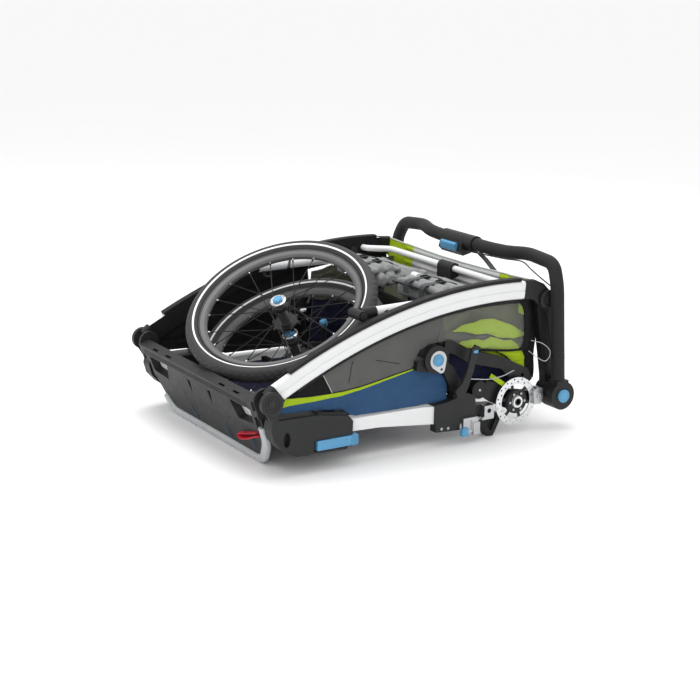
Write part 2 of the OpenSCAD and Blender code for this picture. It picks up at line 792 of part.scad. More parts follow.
module brake_grip() {
  x0 = XD - 41;
  color(blue) difference() {
    slab(6.4, 73.6) polygon([
      [x0 - 31, 408.2], [x0 - 36, 414], [x0 - 37, 426], [x0 - 32, 431.8], [x0 - 26, 431.8], [x0 - 24, 408.2]
    ]);
    for (k = [0 : 3]) block([x0 - 40, 4, 412.6 + 4.4 * k], [x0 - 34, 80, 414.4 + 4.4 * k]);
  }
}

// Brake cable from the housing along the bar, then across the inside of the corner to the post
module brake_cable() {
  color(black) sweep(round_path([
    [XD - 55, -10.3, 415], [XD - 55, -50, 415], [XD - 53, -110, 418.3], [XD - 48, -176, 420.3],
    [XD - 33, -236, 423.5], [XD - 38, -300, 402], [XD - 38.4, -grip_y + 9, 382]
  ], 14, 5), disc2(1.4, 10), [1, 0, 0]);
}

module wrist_strap() {
  color([0.25, 0.25, 0.27]) difference() {
    sweep(round_path([
      [XD - 38, -58, 414.9], [XD - 39, -74, 410], [XD - 44, -112, 388], [XD - 50, -160, 376]
    ], 10, 4), slab2(2.4, 18, 1, 2), [1, 0, 0]);
    sweep([for (q = grip_near) q], disc2(grip_d / 2 + 0.3, 24), [1, 0, 0]);
  }
}

// ---- hinged hoop ----
hoop_x = XD - 206;
hoop_y = half_w - 52;
hoop_s = 15 / 339;

module hoop_tube() {
  color(white) sweep(round_path([
    [XD - 545, -hoop_y, 371 - 339 * hoop_s], [hoop_x + 20, -hoop_y, 371 + 20 * hoop_s],
    [hoop_x + 20, hoop_y, 371 + 20 * hoop_s], [XD - 545, hoop_y, 371 - 339 * hoop_s]
  ], 30, 7), disc2(hoop_d / 2), [0, 0, 1]);
}

module hoop_fittings() {
  color(black) both() {
    difference() {
      union() {
        sweep([[XD - 568, -hoop_y, 355], [XD - 528, -hoop_y, 356.8]], disc2(hoop_d / 2 + 2.6), [0, 0, 1]);
        pin(XD - 574, 354.7, 13, -hoop_y - 22, -hoop_y + 26);
        pin(XD - 574, 354.7, 9, -hoop_y - 28, -hoop_y + 34);
      }
      sweep([[XD - 545.4, -hoop_y, 371 - 339.4 * hoop_s], [XD - 500, -hoop_y, 371 - 294 * hoop_s]],
        disc2(hoop_d / 2 + 0.3), [0, 0, 1]);
    }
    difference() {
      pin(hoop_x, 371, 11, -hoop_y - hoop_d / 2 - 11, -hoop_y - hoop_d / 2 + 6);
      pin(hoop_x, 371, 6 + fit, -hoop_y - 60, -hoop_y - hoop_d / 2 - 0.4);
      sweep([[hoop_x - 60, -hoop_y, 371 - 60 * hoop_s], [hoop_x + 60, -hoop_y, 371 + 60 * hoop_s]],
        disc2(hoop_d / 2 + 0.3), [0, 0, 1]);
    }
  }
}

module hoop_pivots() {
  color(black) both() {
    pin(hoop_x, 371, 6, -half_w + side_t + 0.3, -hoop_y - hoop_d / 2 - 0.8);
  }
}

// ---- stowed wheels ----
module tyre() {
  r0 = rim_r;
  rotate_extrude($fn = 96) polygon([
    [r0 + 0.4, -tyre_w / 2 + 11], [r0 + 4, -tyre_w / 2 + 6], [r0 + 12, -tyre_w / 2], [r0 + 21, -tyre_w / 2],
    [r0 + tyre_h - 8, -tyre_w / 2 + 5], [r0 + tyre_h - 2, -tyre_w / 2 + 11], [r0 + tyre_h, -4],
    [r0 + tyre_h, 4], [r0 + tyre_h - 2, tyre_w / 2 - 11], [r0 + tyre_h - 8, tyre_w / 2 - 5],
    [r0 + 21, tyre_w / 2], [r0 + 12, tyre_w / 2], [r0 + 4, tyre_w / 2 - 6], [r0 + 0.4, tyre_w / 2 - 11]
  ]);
}

module rim() {
  rotate_extrude($fn = 96) polygon([
    [rim_r - 19, -4], [rim_r - 15, -9], [rim_r, -12.4], [rim_r, 12.4], [rim_r - 15, 9], [rim_r - 19, 4]
  ]);
}

module spokes_hub() {
  flange_lo = -46;
  flange_hi = 8;
  difference() {
    union() {
      translate([0, 0, flange_lo - 10]) cylinder(r = 13, h = flange_hi - flange_lo + 20);
      translate([0, 0, flange_hi - 1.5]) cylinder(r = 22, h = 3);
      translate([0, 0, flange_lo - 2]) cylinder(r = 31, h = 4);
      for (k = [0 : 7]) rotate([0, 0, 45 * k + 11]) translate([24, -4, flange_lo - 5]) cube([13, 8, 7]);
      for (k = [0 : spoke_n - 1]) {
        top = k % 2 == 0;
        a = 360 / spoke_n * k;
        lean = (k % 4 < 2 ? 1 : -1) * 52;
        r0 = top ? 20 : 28;
        z0 = top ? flange_hi : flange_lo;
        p0 = [r0 * cos(a + lean), r0 * sin(a + lean), z0];
        p1 = [(rim_r - 19.8) * cos(a), (rim_r - 19.8) * sin(a), top ? 1.5 : -1.5];
        rod(p0, p1, spoke_d / 2);
        rod(p1 + 12 * unit(p0 - p1), p1, spoke_d / 2 + 1);
      }
    }
    translate([0, 0, -100]) cylinder(r = 6 + fit, h = 200);
  }
}

module wheel_axle(c, tilt, az) {
  at_wheel(c, tilt, az) difference() {
    union() {
      translate([0, 0, -70]) cylinder(r = 6, h = 89.4);
      translate([0, 0, -76]) cylinder(r = 9, h = 18.6);
      translate([0, 0, 18.6]) cylinder(r = 15.5, h = 12);
    }
    translate([0, 0, 21]) cylinder(r = 12.5 + fit, h = 20);
  }
}

module wheel_axles() {
  color(silver) {
    wheel_axle(wheel_ca, tilt_a, az_a);
    wheel_axle(wheel_cb, tilt_b, az_b);
  }
}

module hub_cap() {
  color(blue) {
    translate([0, 0, 21.4 + hub_travel]) cylinder(r = 12.5, h = 8);
    translate([0, 0, 29 + hub_travel]) cylinder(r = 10, h = 2);
  }
}

module tyre_a() {
  color(black) at_wheel(wheel_ca, tilt_a, az_a) tyre();
}

module tyre_b() {
  color(black) at_wheel(wheel_cb, tilt_b, az_b) tyre();
}

module rim_a() {
  color(mid_grey) at_wheel(wheel_ca, tilt_a, az_a) rim();
}

module rim_b() {
  color(mid_grey) at_wheel(wheel_cb, tilt_b, az_b) rim();
}

module spokes_a() {
  color(black) at_wheel(wheel_ca, tilt_a, az_a) spokes_hub();
}

module spokes_b() {
  color(black) at_wheel(wheel_cb, tilt_b, az_b) spokes_hub();
}

module cap_a() {
  at_wheel(wheel_ca, tilt_a, az_a) hub_cap();
}

module cap_b() {
  at_wheel(wheel_cb, tilt_b, az_b) hub_cap();
}

front_panel();
reflectors();
bumper_strip();
front_knuckles();
pull_loop();
panel_cords();
receivers();
lower_tubes();
rear_brackets();
bracket_hardware();
feet();
axle_tube();
axle_arms();
calipers();
fold_hubs();
hub_plates();
suspension_bars();
side_panels();
side_skirts();
side_folds();
floor_panel();
seat_frame();
seat_pads();
wheel_axles();
side_tubes();
tube_channels();
front_sockets();
rear_sockets();
cross_tube();
cross_clamp();
rear_panel();
windows();
hoop_tube();
hoop_fittings();
hoop_pivots();
uprights();
handlebar();
bar_drums();
brake_housing();
brake_cable();
wrist_strap();
brake_grip();
drum_button_near();
drum_button_far();
hub_button_near();
hub_button_far();
latch_near();
latch_far();
rotor_near();
rotor_far();
side_lever_near();
side_lever_far();
tyre_a();
rim_a();
spokes_a();
cap_a();
tyre_b();
rim_b();
spokes_b();
cap_b();
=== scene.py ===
"""Folded two-seat child bicycle trailer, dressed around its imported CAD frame."""
import logging
import math
from dataclasses import dataclass
from enum import Enum
from typing import Any, Callable, Sequence

import bpy
import numpy as np
from mathutils import Matrix, Vector, noise


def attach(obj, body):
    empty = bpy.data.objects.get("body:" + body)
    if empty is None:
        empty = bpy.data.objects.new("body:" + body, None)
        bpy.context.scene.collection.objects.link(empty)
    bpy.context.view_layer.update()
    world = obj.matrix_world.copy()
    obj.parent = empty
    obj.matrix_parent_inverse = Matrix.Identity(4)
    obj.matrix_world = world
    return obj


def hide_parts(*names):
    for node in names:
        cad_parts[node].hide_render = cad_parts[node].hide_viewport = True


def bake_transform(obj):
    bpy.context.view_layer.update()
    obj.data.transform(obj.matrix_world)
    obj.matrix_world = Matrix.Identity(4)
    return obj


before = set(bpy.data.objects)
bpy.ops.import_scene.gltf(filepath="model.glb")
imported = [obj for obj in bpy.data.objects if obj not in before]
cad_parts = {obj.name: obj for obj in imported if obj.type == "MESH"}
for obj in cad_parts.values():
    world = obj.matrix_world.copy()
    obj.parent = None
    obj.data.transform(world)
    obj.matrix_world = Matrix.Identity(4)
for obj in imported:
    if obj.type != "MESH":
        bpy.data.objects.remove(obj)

log = logging.getLogger("trailer")
Point = Sequence[float]
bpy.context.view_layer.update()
MM = 0.001
SIDES = ((-1, "near"), (1, "far"))
SHARP = math.radians(38)  # faces that turn more than this meet in a hard edge
CLOTH_T = 0.0012

# Main stations of the frame, in millimetres
KNUCKLE_X, DRUM_X, DRUM_Z = -428.0, 415.0, 92.0
TEE_X, TEE_Z = DRUM_X - 40, 345.0
HUB_X, HUB_Z = DRUM_X - 380, 231.0
HALF_W, TUBE_H, TUBE_T = 342.0, 46.0, 22.0
TUBE_Y = HALF_W - TUBE_T / 2
AXLE_X, AXLE_Z = DRUM_X - 123, 86.0
GRIP_Y = HALF_W + 19


# ---------------------------------------------------------------- shader maths
class Value:
    """A shader socket on which Python maths adds Math nodes."""

    def __init__(self, graph: "Graph", socket: Any) -> None:
        """Keeps the graph and the socket."""
        self.graph = graph
        self.socket = socket

    def math(self, operation: str, *terms: Any) -> "Value":
        """Adds one Math node.

        Args:
            operation: the Math node's operation.
            terms: values or numbers, in the order of its sockets.

        Returns:
            The node's result.
        """
        return self.graph.node("ShaderNodeMath", {"operation": operation}, dict(enumerate(terms)))

    def __add__(self, other: Any) -> "Value":
        """self + other."""
        return self.math("ADD", self, other)

    def __radd__(self, other: Any) -> "Value":
        """other + self."""
        return self.math("ADD", other, self)

    def __sub__(self, other: Any) -> "Value":
        """self - other."""
        return self.math("SUBTRACT", self, other)

    def __rsub__(self, other: Any) -> "Value":
        """other - self."""
        return self.math("SUBTRACT", other, self)

    def __mul__(self, other: Any) -> "Value":
        """self * other."""
        return self.math("MULTIPLY", self, other)

    def __rmul__(self, other: Any) -> "Value":
        """other * self."""
        return self.math("MULTIPLY", other, self)

    def __gt__(self, other: Any) -> "Value":
        """1 where self is above other."""
        return self.math("GREATER_THAN", self, other)

    def __lt__(self, other: Any) -> "Value":
        """1 where self is below other."""
        return self.math("LESS_THAN", self, other)

    def sine(self) -> "Value":
        """The sine of self."""
        return self.math("SINE", self)

    def size(self) -> "Value":
        """self without its sign."""
        return self.math("ABSOLUTE", self)

    def held(self) -> "Value":
        """self kept between 0 and 1."""
        return self.math("MINIMUM", self.math("MAXIMUM", self, 0.0), 1.0)


class Graph:
    """The nodes of one material, with its principled surface."""

    def __init__(self, name: str) -> None:
        """Makes an empty material called name."""
        self.material = bpy.data.materials.new(name)
        self.material.use_nodes = True
        self.tree = self.material.node_tree
        self.surface = self.tree.nodes["Principled BSDF"]

    def node(self, kind: str, settings: dict[str, Any], inputs: dict[Any, Any], out: Any = 0) -> Value:
        """Adds a node.

        Args:
            kind: the node's type.
            settings: its properties; "stops" gives a ramp's positions and colours.
            inputs: values or numbers for its sockets, by name or place.
            out: the output to return, by name or place.

        Returns:
            That output.
        """
        made = self.tree.nodes.new(kind)
        for key, value in settings.items():
            if key == "stops":
                ramp = made.color_ramp
                while len(ramp.elements) < len(value):
                    ramp.elements.new(1.0)
                for element, (place, colour) in zip(ramp.elements, value):
                    element.position, element.color = place, (*colour, 1.0)
            else:
                setattr(made, key, value)
        for key, value in inputs.items():
            self.feed(made.inputs[key], value)
        return Value(self, made.outputs[out])

    def feed(self, socket: Any, value: Any) -> None:
        """Links a value to a socket, or sets a number or colour on it."""
        if isinstance(value, Value):
            self.tree.links.new(value.socket, socket)
        else:
            socket.default_value = value

    def blend(self, mask: Any, low: Any, high: Any) -> Value:
        """Mixes two colours, low where mask is 0 and high where it is 1."""
        sides = {
            6: low if isinstance(low, Value) else (*low, 1.0),
            7: high if isinstance(high, Value) else (*high, 1.0),
        }
        return self.node("ShaderNodeMix", {"data_type": "RGBA"}, {0: mask, **sides}, 2)

    def place(self) -> Value:
        """The point in the row frame, carried along with the piece."""
        return self.node("ShaderNodeTexCoord", {}, {}, "Object")

    def cloud(self, scale: float, detail: float = 3.0, stretch: Point = (1, 1, 1)) -> Value:
        """Noise of the given scale per metre, stretched by stretch."""
        where = self.node(
            "ShaderNodeVectorMath", {"operation": "MULTIPLY"}, {0: self.place(), 1: stretch}
        )
        return self.node("ShaderNodeTexNoise", {}, {"Vector": where, "Scale": scale, "Detail": detail})

    def axes(self) -> tuple[Value, Value, Value]:
        """The x, y and z of the point."""
        place = self.place()
        return tuple(self.node("ShaderNodeSeparateXYZ", {}, {0: place}, k) for k in range(3))

    def off_axis(self, centre: Point, axis: Point) -> Value:
        """The distance of the point from a line through centre along axis."""
        rel = self.node("ShaderNodeVectorMath", {"operation": "SUBTRACT"}, {0: self.place(), 1: centre})
        side = self.node("ShaderNodeVectorMath", {"operation": "CROSS_PRODUCT"}, {0: rel, 1: axis})
        return self.node("ShaderNodeVectorMath", {"operation": "LENGTH"}, {0: side}, "Value")

    def set(self, **sockets: Any) -> None:
        """Feeds the surface's own sockets, written with _ for a space."""
        for name, value in sockets.items():
            self.feed(self.surface.inputs[name.replace("_", " ")], value)


class Grain(Enum):
    """The small relief of a finish."""

    PEBBLE = "moulded pebble"
    PAINT = "orange peel"
    BRUSHED = "brushed along y"
    LAPPED = "brushed along x"
    FOAM = "closed cell foam"
    RUBBER = "rubber skin"
    WEAVE = "plain weave"
    NET = "open net"
    WEBBING = "ribbed webbing"
    FILM = "clear film"
    PRISM = "reflector prisms"


HARD = (Grain.PEBBLE, Grain.PAINT, Grain.BRUSHED, Grain.LAPPED)


@dataclass(frozen=True)
class Finish:
    """One finish: its colour, gloss and relief."""

    name: str
    colour: tuple[float, float, float]
    rough: float = 0.5
    metal: float = 0.0
    grain: Grain = Grain.PEBBLE
    size: float = 0.0012
    depth: float = 0.25
    vary: float = 0.12
    coat: float = 0.0
    sheen: float = 0.0
    shine: float = 0.3
    edge: float = 0.0012

    def relief(self, g: Graph) -> Value:
        """The height of the grain, from 0 to 1.

        Args:
            g: the material's graph.

        Returns:
            The height.
        """
        per = 1.0 / self.size
        if self.grain in (Grain.WEAVE, Grain.NET, Grain.WEBBING, Grain.PRISM):
            x, y, z = g.axes()
            turn = math.pi * per
            across, along = (x * turn).sine(), ((y + z) * turn).sine()
            if self.grain is Grain.WEBBING:
                return across.size() * 0.5 + ((y + z + x) * turn).sine().size() * 0.5
            if self.grain is Grain.PRISM:
                return (across * along).size()
            over = (across * along) > 0.0
            weave = across.size() * over + along.size() * (1 - over)
            return weave * 0.8 + g.cloud(per * 0.7, 2.0) * 0.2
        stretch = {Grain.BRUSHED: (1, 0.03, 1), Grain.LAPPED: (0.05, 1, 1)}.get(self.grain, (1, 1, 1))
        detail = {Grain.PAINT: 0.0, Grain.FILM: 1.0, Grain.FOAM: 5.0}.get(self.grain, 3.0)
        return g.cloud(per, detail, stretch)

    def colours(self, g: Graph, edge: Value | None) -> Value:
        """The base colour, with broad variation and rubbed edges.

        Args:
            g: the material's graph.
            edge: how sharply the surface turns here, or None.

        Returns:
            The colour.
        """
        low = tuple(c * (1 - self.vary) for c in self.colour)
        high = tuple(min(1.0, c * (1 + self.vary)) for c in self.colour)
        colour = g.blend(g.cloud(22.0, 4.0), low, high)
        if edge is not None:
            rubbed = tuple(min(1.0, c * 1.5 + 0.05) for c in self.colour)
            colour = g.blend((edge * g.cloud(140.0, 3.0) * 0.9).held(), colour, rubbed)
        return colour

    def build(self) -> bpy.types.Material:
        """Makes the material."""
        g = Graph(self.name)
        relief = self.relief(g)
        edge = None
        bump: dict[Any, Any] = {"Strength": self.depth, "Distance": self.size * 0.6, "Height": relief}
        if self.grain in HARD and self.edge > 0:
            soft = g.node("ShaderNodeBevel", {"samples": 4}, {"Radius": self.edge})
            hard = g.node("ShaderNodeNewGeometry", {}, {}, "Normal")
            same = g.node("ShaderNodeVectorMath", {"operation": "DOT_PRODUCT"}, {0: soft, 1: hard},
                          "Value")
            edge = ((1 - same) * 5.0).held()
            bump["Normal"] = soft
        swing = min(0.22, self.vary * 2)
        rough = (g.cloud(60.0, 4.0) - 0.5) * swing + relief * 0.06 + (self.rough - 0.03)
        g.set(
            Base_Color=self.colours(g, edge),
            Roughness=rough.held(),
            Metallic=self.metal,
            Normal=g.node("ShaderNodeBump", {}, bump),
            Coat_Weight=self.coat,
            Sheen_Weight=self.sheen,
        )
        g.surface.inputs["Sheen Roughness"].default_value = 0.5
        g.surface.inputs["Specular IOR Level"].default_value = self.shine
        if self.grain is Grain.NET:
            g.set(Alpha=(relief > 0.42) * 0.9 + 0.1)
        if self.grain is Grain.FILM:
            g.set(Alpha=0.1 + g.cloud(9.0, 3.0) * 0.16, IOR=1.45)
        self.extra(g)
        return g.material

    def extra(self, g: Graph) -> None:
        """Adds what a special finish has; nothing here."""


@dataclass(frozen=True)
class TurnedFinish(Finish):
    """A finish with rings of other colour and gloss round an axis.

    Each ring is (inner radius, outer radius, colour, metal, roughness) in metres.
    """

    centre: tuple[float, float, float] = (0, 0, 0)
    axis: tuple[float, float, float] = (0, 1, 0)
    rings: tuple[tuple[float, float, tuple[float, float, float], float, float], ...] = ()

    def extra(self, g: Graph) -> None:
        """Lays the rings over the base finish."""
        away = g.off_axis(self.centre, self.axis)
        colour, metal, rough = self.colours(g, None), self.metal, self.rough
        for inner, outer, paint, shine, gloss in self.rings:
            mask = (away > inner) * (away < outer)
            colour = g.blend(mask, colour, paint)
            metal = metal + mask * (shine - self.metal)
            rough = rough + mask * (gloss - self.rough)
        streak = g.cloud(900.0, 2.0, (1, 0.02, 1)) * 0.12 - 0.06
        g.set(Base_Color=colour, Metallic=metal, Roughness=(rough + streak).held())


BLACK, CHARCOAL, WHITE = (0.0085, 0.0085, 0.009), (0.0165, 0.017, 0.0175), (0.74, 0.745, 0.75)
SILVER, SKY = (0.50, 0.51, 0.52), (0.095, 0.31, 0.52)
LIME, GREY = (0.33, 0.47, 0.007), (0.095, 0.096, 0.09)
NAVY, DENIM = (0.004, 0.007, 0.035), (0.016, 0.062, 0.15)


class Finishes:
    """Every finish of the trailer, made once and shared."""

    PLAIN = (
        Finish("black_moulding", BLACK, 0.48, size=0.0009),
        Finish("charcoal_moulding", CHARCOAL, 0.5, size=0.0011, depth=0.32),
        Finish("white_paint", WHITE, 0.3, grain=Grain.PAINT, size=0.002, depth=0.02, vary=0.02,
               coat=0.25, shine=0.5, edge=0),
        Finish("black_powder", BLACK, 0.42, grain=Grain.PAINT, size=0.0016, depth=0.14),
        Finish("silver_metal", SILVER, 0.34, 1.0, Grain.LAPPED, 0.0011, 0.12, 0.06),
        Finish("cord_blue", (0.02, 0.09, 0.15), 0.5, grain=Grain.WEBBING, size=0.0009, depth=0.2),
        Finish("blue_plastic", SKY, 0.34, size=0.0016, depth=0.1, vary=0.05, coat=0.15),
        Finish("bumper_rubber", (0.42, 0.44, 0.45), 0.55, grain=Grain.RUBBER, size=0.0015, depth=0.15),
        Finish("tyre_rubber", (0.042, 0.042, 0.042), 0.66, grain=Grain.RUBBER, size=0.0022, depth=0.3),
        Finish("grip_foam", (0.013, 0.013, 0.0135), 0.75, grain=Grain.FOAM, size=0.0016, depth=0.5,
               sheen=0.03),
        Finish("cable_skin", (0.02, 0.02, 0.022), 0.4, grain=Grain.RUBBER, size=0.0012, depth=0.1),
        Finish("steel_cable", (0.5, 0.51, 0.52), 0.35, 0.8, Grain.LAPPED, 0.0006, 0.2, edge=0),
        Finish("denim_cloth", DENIM, 0.78, grain=Grain.WEAVE, size=0.0014, depth=0.3, sheen=0.1),
        Finish("navy_cloth", NAVY, 0.8, grain=Grain.WEAVE, size=0.0014, depth=0.3, sheen=0.05),
        Finish("lime_cloth", LIME, 0.74, grain=Grain.WEAVE, size=0.0014, depth=0.28, vary=0.1),
        Finish("grey_cloth", GREY, 0.8, grain=Grain.WEAVE, size=0.0015, depth=0.35, sheen=0.1),
        Finish("pale_cloth", (0.5, 0.51, 0.5), 0.75, grain=Grain.WEAVE, size=0.0014, depth=0.2,
               vary=0.05),
        # painted shade: a dark, mottled grey-green cloth that stands for the shaded cabin seen through
        # the side windows
        Finish("cabin_shade_cloth", (0.1, 0.105, 0.07), 0.85, grain=Grain.WEAVE, size=0.0016, depth=0.3,
               vary=0.3),
        Finish("black_cloth", (0.006, 0.006, 0.007), 0.9, grain=Grain.WEAVE, size=0.0014, depth=0.3),
        Finish("pad_cloth", (0.25, 0.255, 0.255), 0.85, grain=Grain.WEAVE, size=0.0017, depth=0.4,
               sheen=0.1),
        Finish("black_net", (0.005, 0.005, 0.006), 0.8, grain=Grain.NET, size=0.0026, depth=0.4),
        Finish("piping", (0.007, 0.007, 0.008), 0.65, grain=Grain.WEBBING, size=0.0016, depth=0.3),
        Finish("pale_piping", (0.45, 0.46, 0.44), 0.5, grain=Grain.WEBBING, size=0.0014, depth=0.3),
        Finish("grey_webbing", (0.055, 0.06, 0.065), 0.6, grain=Grain.WEBBING, size=0.0018, depth=0.5),
        Finish("red_webbing", (0.55, 0.008, 0.03), 0.55, grain=Grain.WEBBING, size=0.0018, depth=0.5),
        Finish("window_film", (0.42, 0.44, 0.38), 0.12, grain=Grain.FILM, size=0.02, depth=0.08,
               coat=0.2),
        Finish("reflector", (0.72, 0.73, 0.74), 0.4, 0.0, Grain.PRISM, 0.003, 0.3, 0.04, 0.4),
        Finish("reflective_band", (0.86, 0.87, 0.88), 0.35, 0.0, Grain.RUBBER, 0.001, 0.1, 0.02),
        Finish("white_tag", (0.85, 0.85, 0.84), 0.7, grain=Grain.WEAVE, size=0.0009, depth=0.2,
               vary=0.03),
    )

    def __init__(self) -> None:
        """Indexes the finishes by name."""
        self.known = {f.name: f for f in self.PLAIN}
        self.made: dict[str, bpy.types.Material] = {}

    def add(self, finish: Finish) -> None:
        """Adds a finish of one piece's own."""
        self.known[finish.name] = finish

    def get(self, name: str) -> bpy.types.Material:
        """The material of a finish, made when first asked for."""
        if name not in self.made:
            self.made[name] = self.known[name].build()
        return self.made[name]


FINISHES = Finishes()


def dress(nodes: dict[str, str]) -> None:
    """Gives CAD nodes their finishes.

    Args:
        nodes: finish name by node name.
    """
    for node, finish in nodes.items():
        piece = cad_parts[node]
        piece.data.materials.clear()
        piece.data.materials.append(FINISHES.get(finish))
        log.info("dressed %s in %s", node, finish)


# ---------------------------------------------------------------- mesh helpers
def unit(v: Point) -> np.ndarray:
    """v at length 1."""
    v = np.asarray(v, float)
    return v / np.linalg.norm(v)


def bent(points: Sequence[Point], radius: float, steps: int = 12) -> np.ndarray:
    """A polyline with rounded corners.

    Args:
        points: its corners.
        radius: how far from each corner the bend starts.
        steps: pieces in each bend.

    Returns:
        The points of the path.
    """
    p = [np.asarray(q, float) for q in points]
    out = [p[0]]
    for a, b, c in zip(p, p[1:], p[2:]):
        u, v = unit(a - b), unit(c - b)
        out += [b + radius * ((1 - t) ** 2 * u + t * t * v) for t in np.linspace(0, 1, steps + 1)]
    return np.array(out + [p[-1]])


def curve_through(points: Sequence[Point], steps: int = 8) -> np.ndarray:
    """A smooth path through points (Catmull-Rom)."""
    p = np.asarray(points, float)
    p = np.vstack([2 * p[0] - p[1], p, 2 * p[-1] - p[-2]])
    out = []
    for a, b, c, d in zip(p, p[1:], p[2:], p[3:]):
        for t in np.arange(steps) / steps:
            square, cube = 2 * a - 5 * b + 4 * c - d, 3 * b - a - 3 * c + d
            out.append(0.5 * (2 * b + (c - a) * t + square * t * t + cube * t**3))
    return np.array(out + [p[-2]])


def disc(radius: float, sides: int = 28) -> np.ndarray:
    """A round section."""
    t = np.arange(sides) * 2 * math.pi / sides
    return radius * np.stack([np.cos(t), np.sin(t)], 1)


def rounded(width: float, height: float, radius: float, steps: int = 5) -> np.ndarray:
    """A section of width by height with rounded corners."""
    out = []
    for sx, sy, turn in ((1, 1, 0), (-1, 1, 90), (-1, -1, 180), (1, -1, 270)):
        for k in range(steps + 1):
            t = math.radians(turn + 90 * k / steps)
            out.append((sx * (width / 2 - radius) + radius * math.cos(t),
                        sy * (height / 2 - radius) + radius * math.sin(t)))
    return np.array(out)


def make(name: str, verts: Any, faces: Any, finish: str | Sequence[str], body: str, smooth: bool = True,
         slots: Sequence[int] | None = None) -> bpy.types.Object:
    """Makes a mesh piece in the row frame.

    Args:
        name: the piece's name.
        verts: its points, in metres.
        faces: its faces.
        finish: one finish, or several for slots to choose from.
        body: the CAD body it rides on, or "" for a piece left unattached.
        smooth: whether it is shaded smooth.
        slots: the finish of each face.

    Returns:
        The piece.
    """
    data = bpy.data.meshes.new(name)
    data.from_pydata([tuple(map(float, v)) for v in verts], [], [tuple(map(int, f)) for f in faces])
    for one in [finish] if isinstance(finish, str) else finish:
        data.materials.append(FINISHES.get(one))
    if smooth:
        data.polygons.foreach_set("use_smooth", [True] * len(data.polygons))
    if slots is not None:
        data.polygons.foreach_set("material_index", list(slots))
    data.validate()
    piece = bpy.data.objects.new(name, data)
    bpy.context.scene.collection.objects.link(piece)
    if smooth:
        data.set_sharp_from_angle(angle=SHARP)
    if body:
        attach(piece, body)
    log.info("made %s", name)
    return piece


def sweep(name: str, path: Any, section: np.ndarray, finish: str, body: str, ref: Point = (0, 1, 0),
          scale: Callable[[float], float] | None = None) -> bpy.types.Object:
    """Carries a section along a path.

    Args:
        name: the piece's name.
        path: the centre line, in metres.
        section: the outline, in metres; its first side lies along ref x tangent.
        finish: its finish.
        body: its body.
        ref: a direction that is never along the path.
        scale: the section's scale, given how far along it is.

    Returns:
        The piece.
    """
    path = np.asarray(path, float)
    n, m, verts, faces = len(path), len(section), [], []
    for i in range(n):
        if 0 < i < n - 1:
            t = unit(unit(path[i + 1] - path[i]) + unit(path[i] - path[i - 1]))
        else:
            t = unit(path[min(i + 1, n - 1)] - path[max(i - 1, 0)])
        a = unit(np.cross(ref, t))
        b = np.cross(t, a)
        k = scale(i / (n - 1)) if scale else 1.0
        verts += [path[i] + k * (q[0] * a + q[1] * b) for q in section]
    for i in range(n - 1):
        for j in range(m):
            k = (j + 1) % m
            faces.append((i * m + j, i * m + k, (i + 1) * m + k, (i + 1) * m + j))
    faces += [tuple(range(m - 1, -1, -1)), tuple((n - 1) * m + j for j in range(m))]
    return make(name, verts, faces, finish, body)


def shell(name: str, grid: np.ndarray, thick: float, finish: str, body: str,
          back: str | None = None) -> bpy.types.Object:
    """A closed sheet of cloth from a grid of points.

    Args:
        name: the piece's name.
        grid: its points, rows by columns by 3, in metres.
        thick: its thickness.
        finish: its finish.
        body: its body, or "".
        back: the finish of its other face, where it differs.

    Returns:
        The piece.
    """
    rows, cols, _ = grid.shape
    du, dv = np.gradient(grid, axis=0), np.gradient(grid, axis=1)
    normal = np.cross(du, dv)
    normal /= np.maximum(np.linalg.norm(normal, axis=2, keepdims=True), 1e-12)
    verts = np.concatenate([(grid + normal * thick / 2).reshape(-1, 3),
                            (grid - normal * thick / 2).reshape(-1, 3)])
    n, faces = rows * cols, []
    for i in range(rows - 1):
        for j in range(cols - 1):
            a, b, c, d = i * cols + j, i * cols + j + 1, (i + 1) * cols + j + 1, (i + 1) * cols + j
            faces += [(a, d, c, b), (n + a, n + b, n + c, n + d)]
    rim = (
        [j for j in range(cols)]
        + [i * cols + cols - 1 for i in range(1, rows)]
        + [(rows - 1) * cols + j for j in range(cols - 2, -1, -1)]
        + [i * cols for i in range(rows - 2, 0, -1)]
    )
    for a, b in zip(rim, rim[1:] + rim[:1]):
        faces.append((a, b, n + b, n + a))
    slots = [k % 2 if k < 2 * (rows - 1) * (cols - 1) else 0 for k in range(len(faces))]
    return make(name, verts, faces, [finish, back or finish], body, slots=slots)


def revolve(name: str, profile: Sequence[Point], turns: int, place: Matrix, finish: str, body: str,
            lift: Callable[[int, int], float] | None = None, closed: bool = True) -> bpy.types.Object:
    """Turns a profile of (radius, height) round the place's z axis.

    Args:
        name: the piece's name.
        profile: its outline, in metres.
        turns: pieces round the axis.
        place: where it goes.
        finish: its finish.
        body: its body.
        lift: how much the radius of profile point j changes at step i.
        closed: whether the profile is a closed loop.

    Returns:
        The piece.
    """
    m, verts, faces = len(profile), [], []
    for i in range(turns):
        t = 2 * math.pi * i / turns
        for j, (r, z) in enumerate(profile):
            r = r + (lift(i, j) if lift else 0.0)
            verts.append(place @ Vector((r * math.cos(t), r * math.sin(t), z)))
    for i in range(turns):
        k = (i + 1) % turns
        for j in range(m if closed else m - 1):
            q = (j + 1) % m
            faces.append((i * m + j, k * m + j, k * m + q, i * m + q))
    if not closed:
        faces += [tuple(i * m for i in range(turns - 1, -1, -1)),
                  tuple(i * m + m - 1 for i in range(turns))]
    return make(name, verts, faces, finish, body)


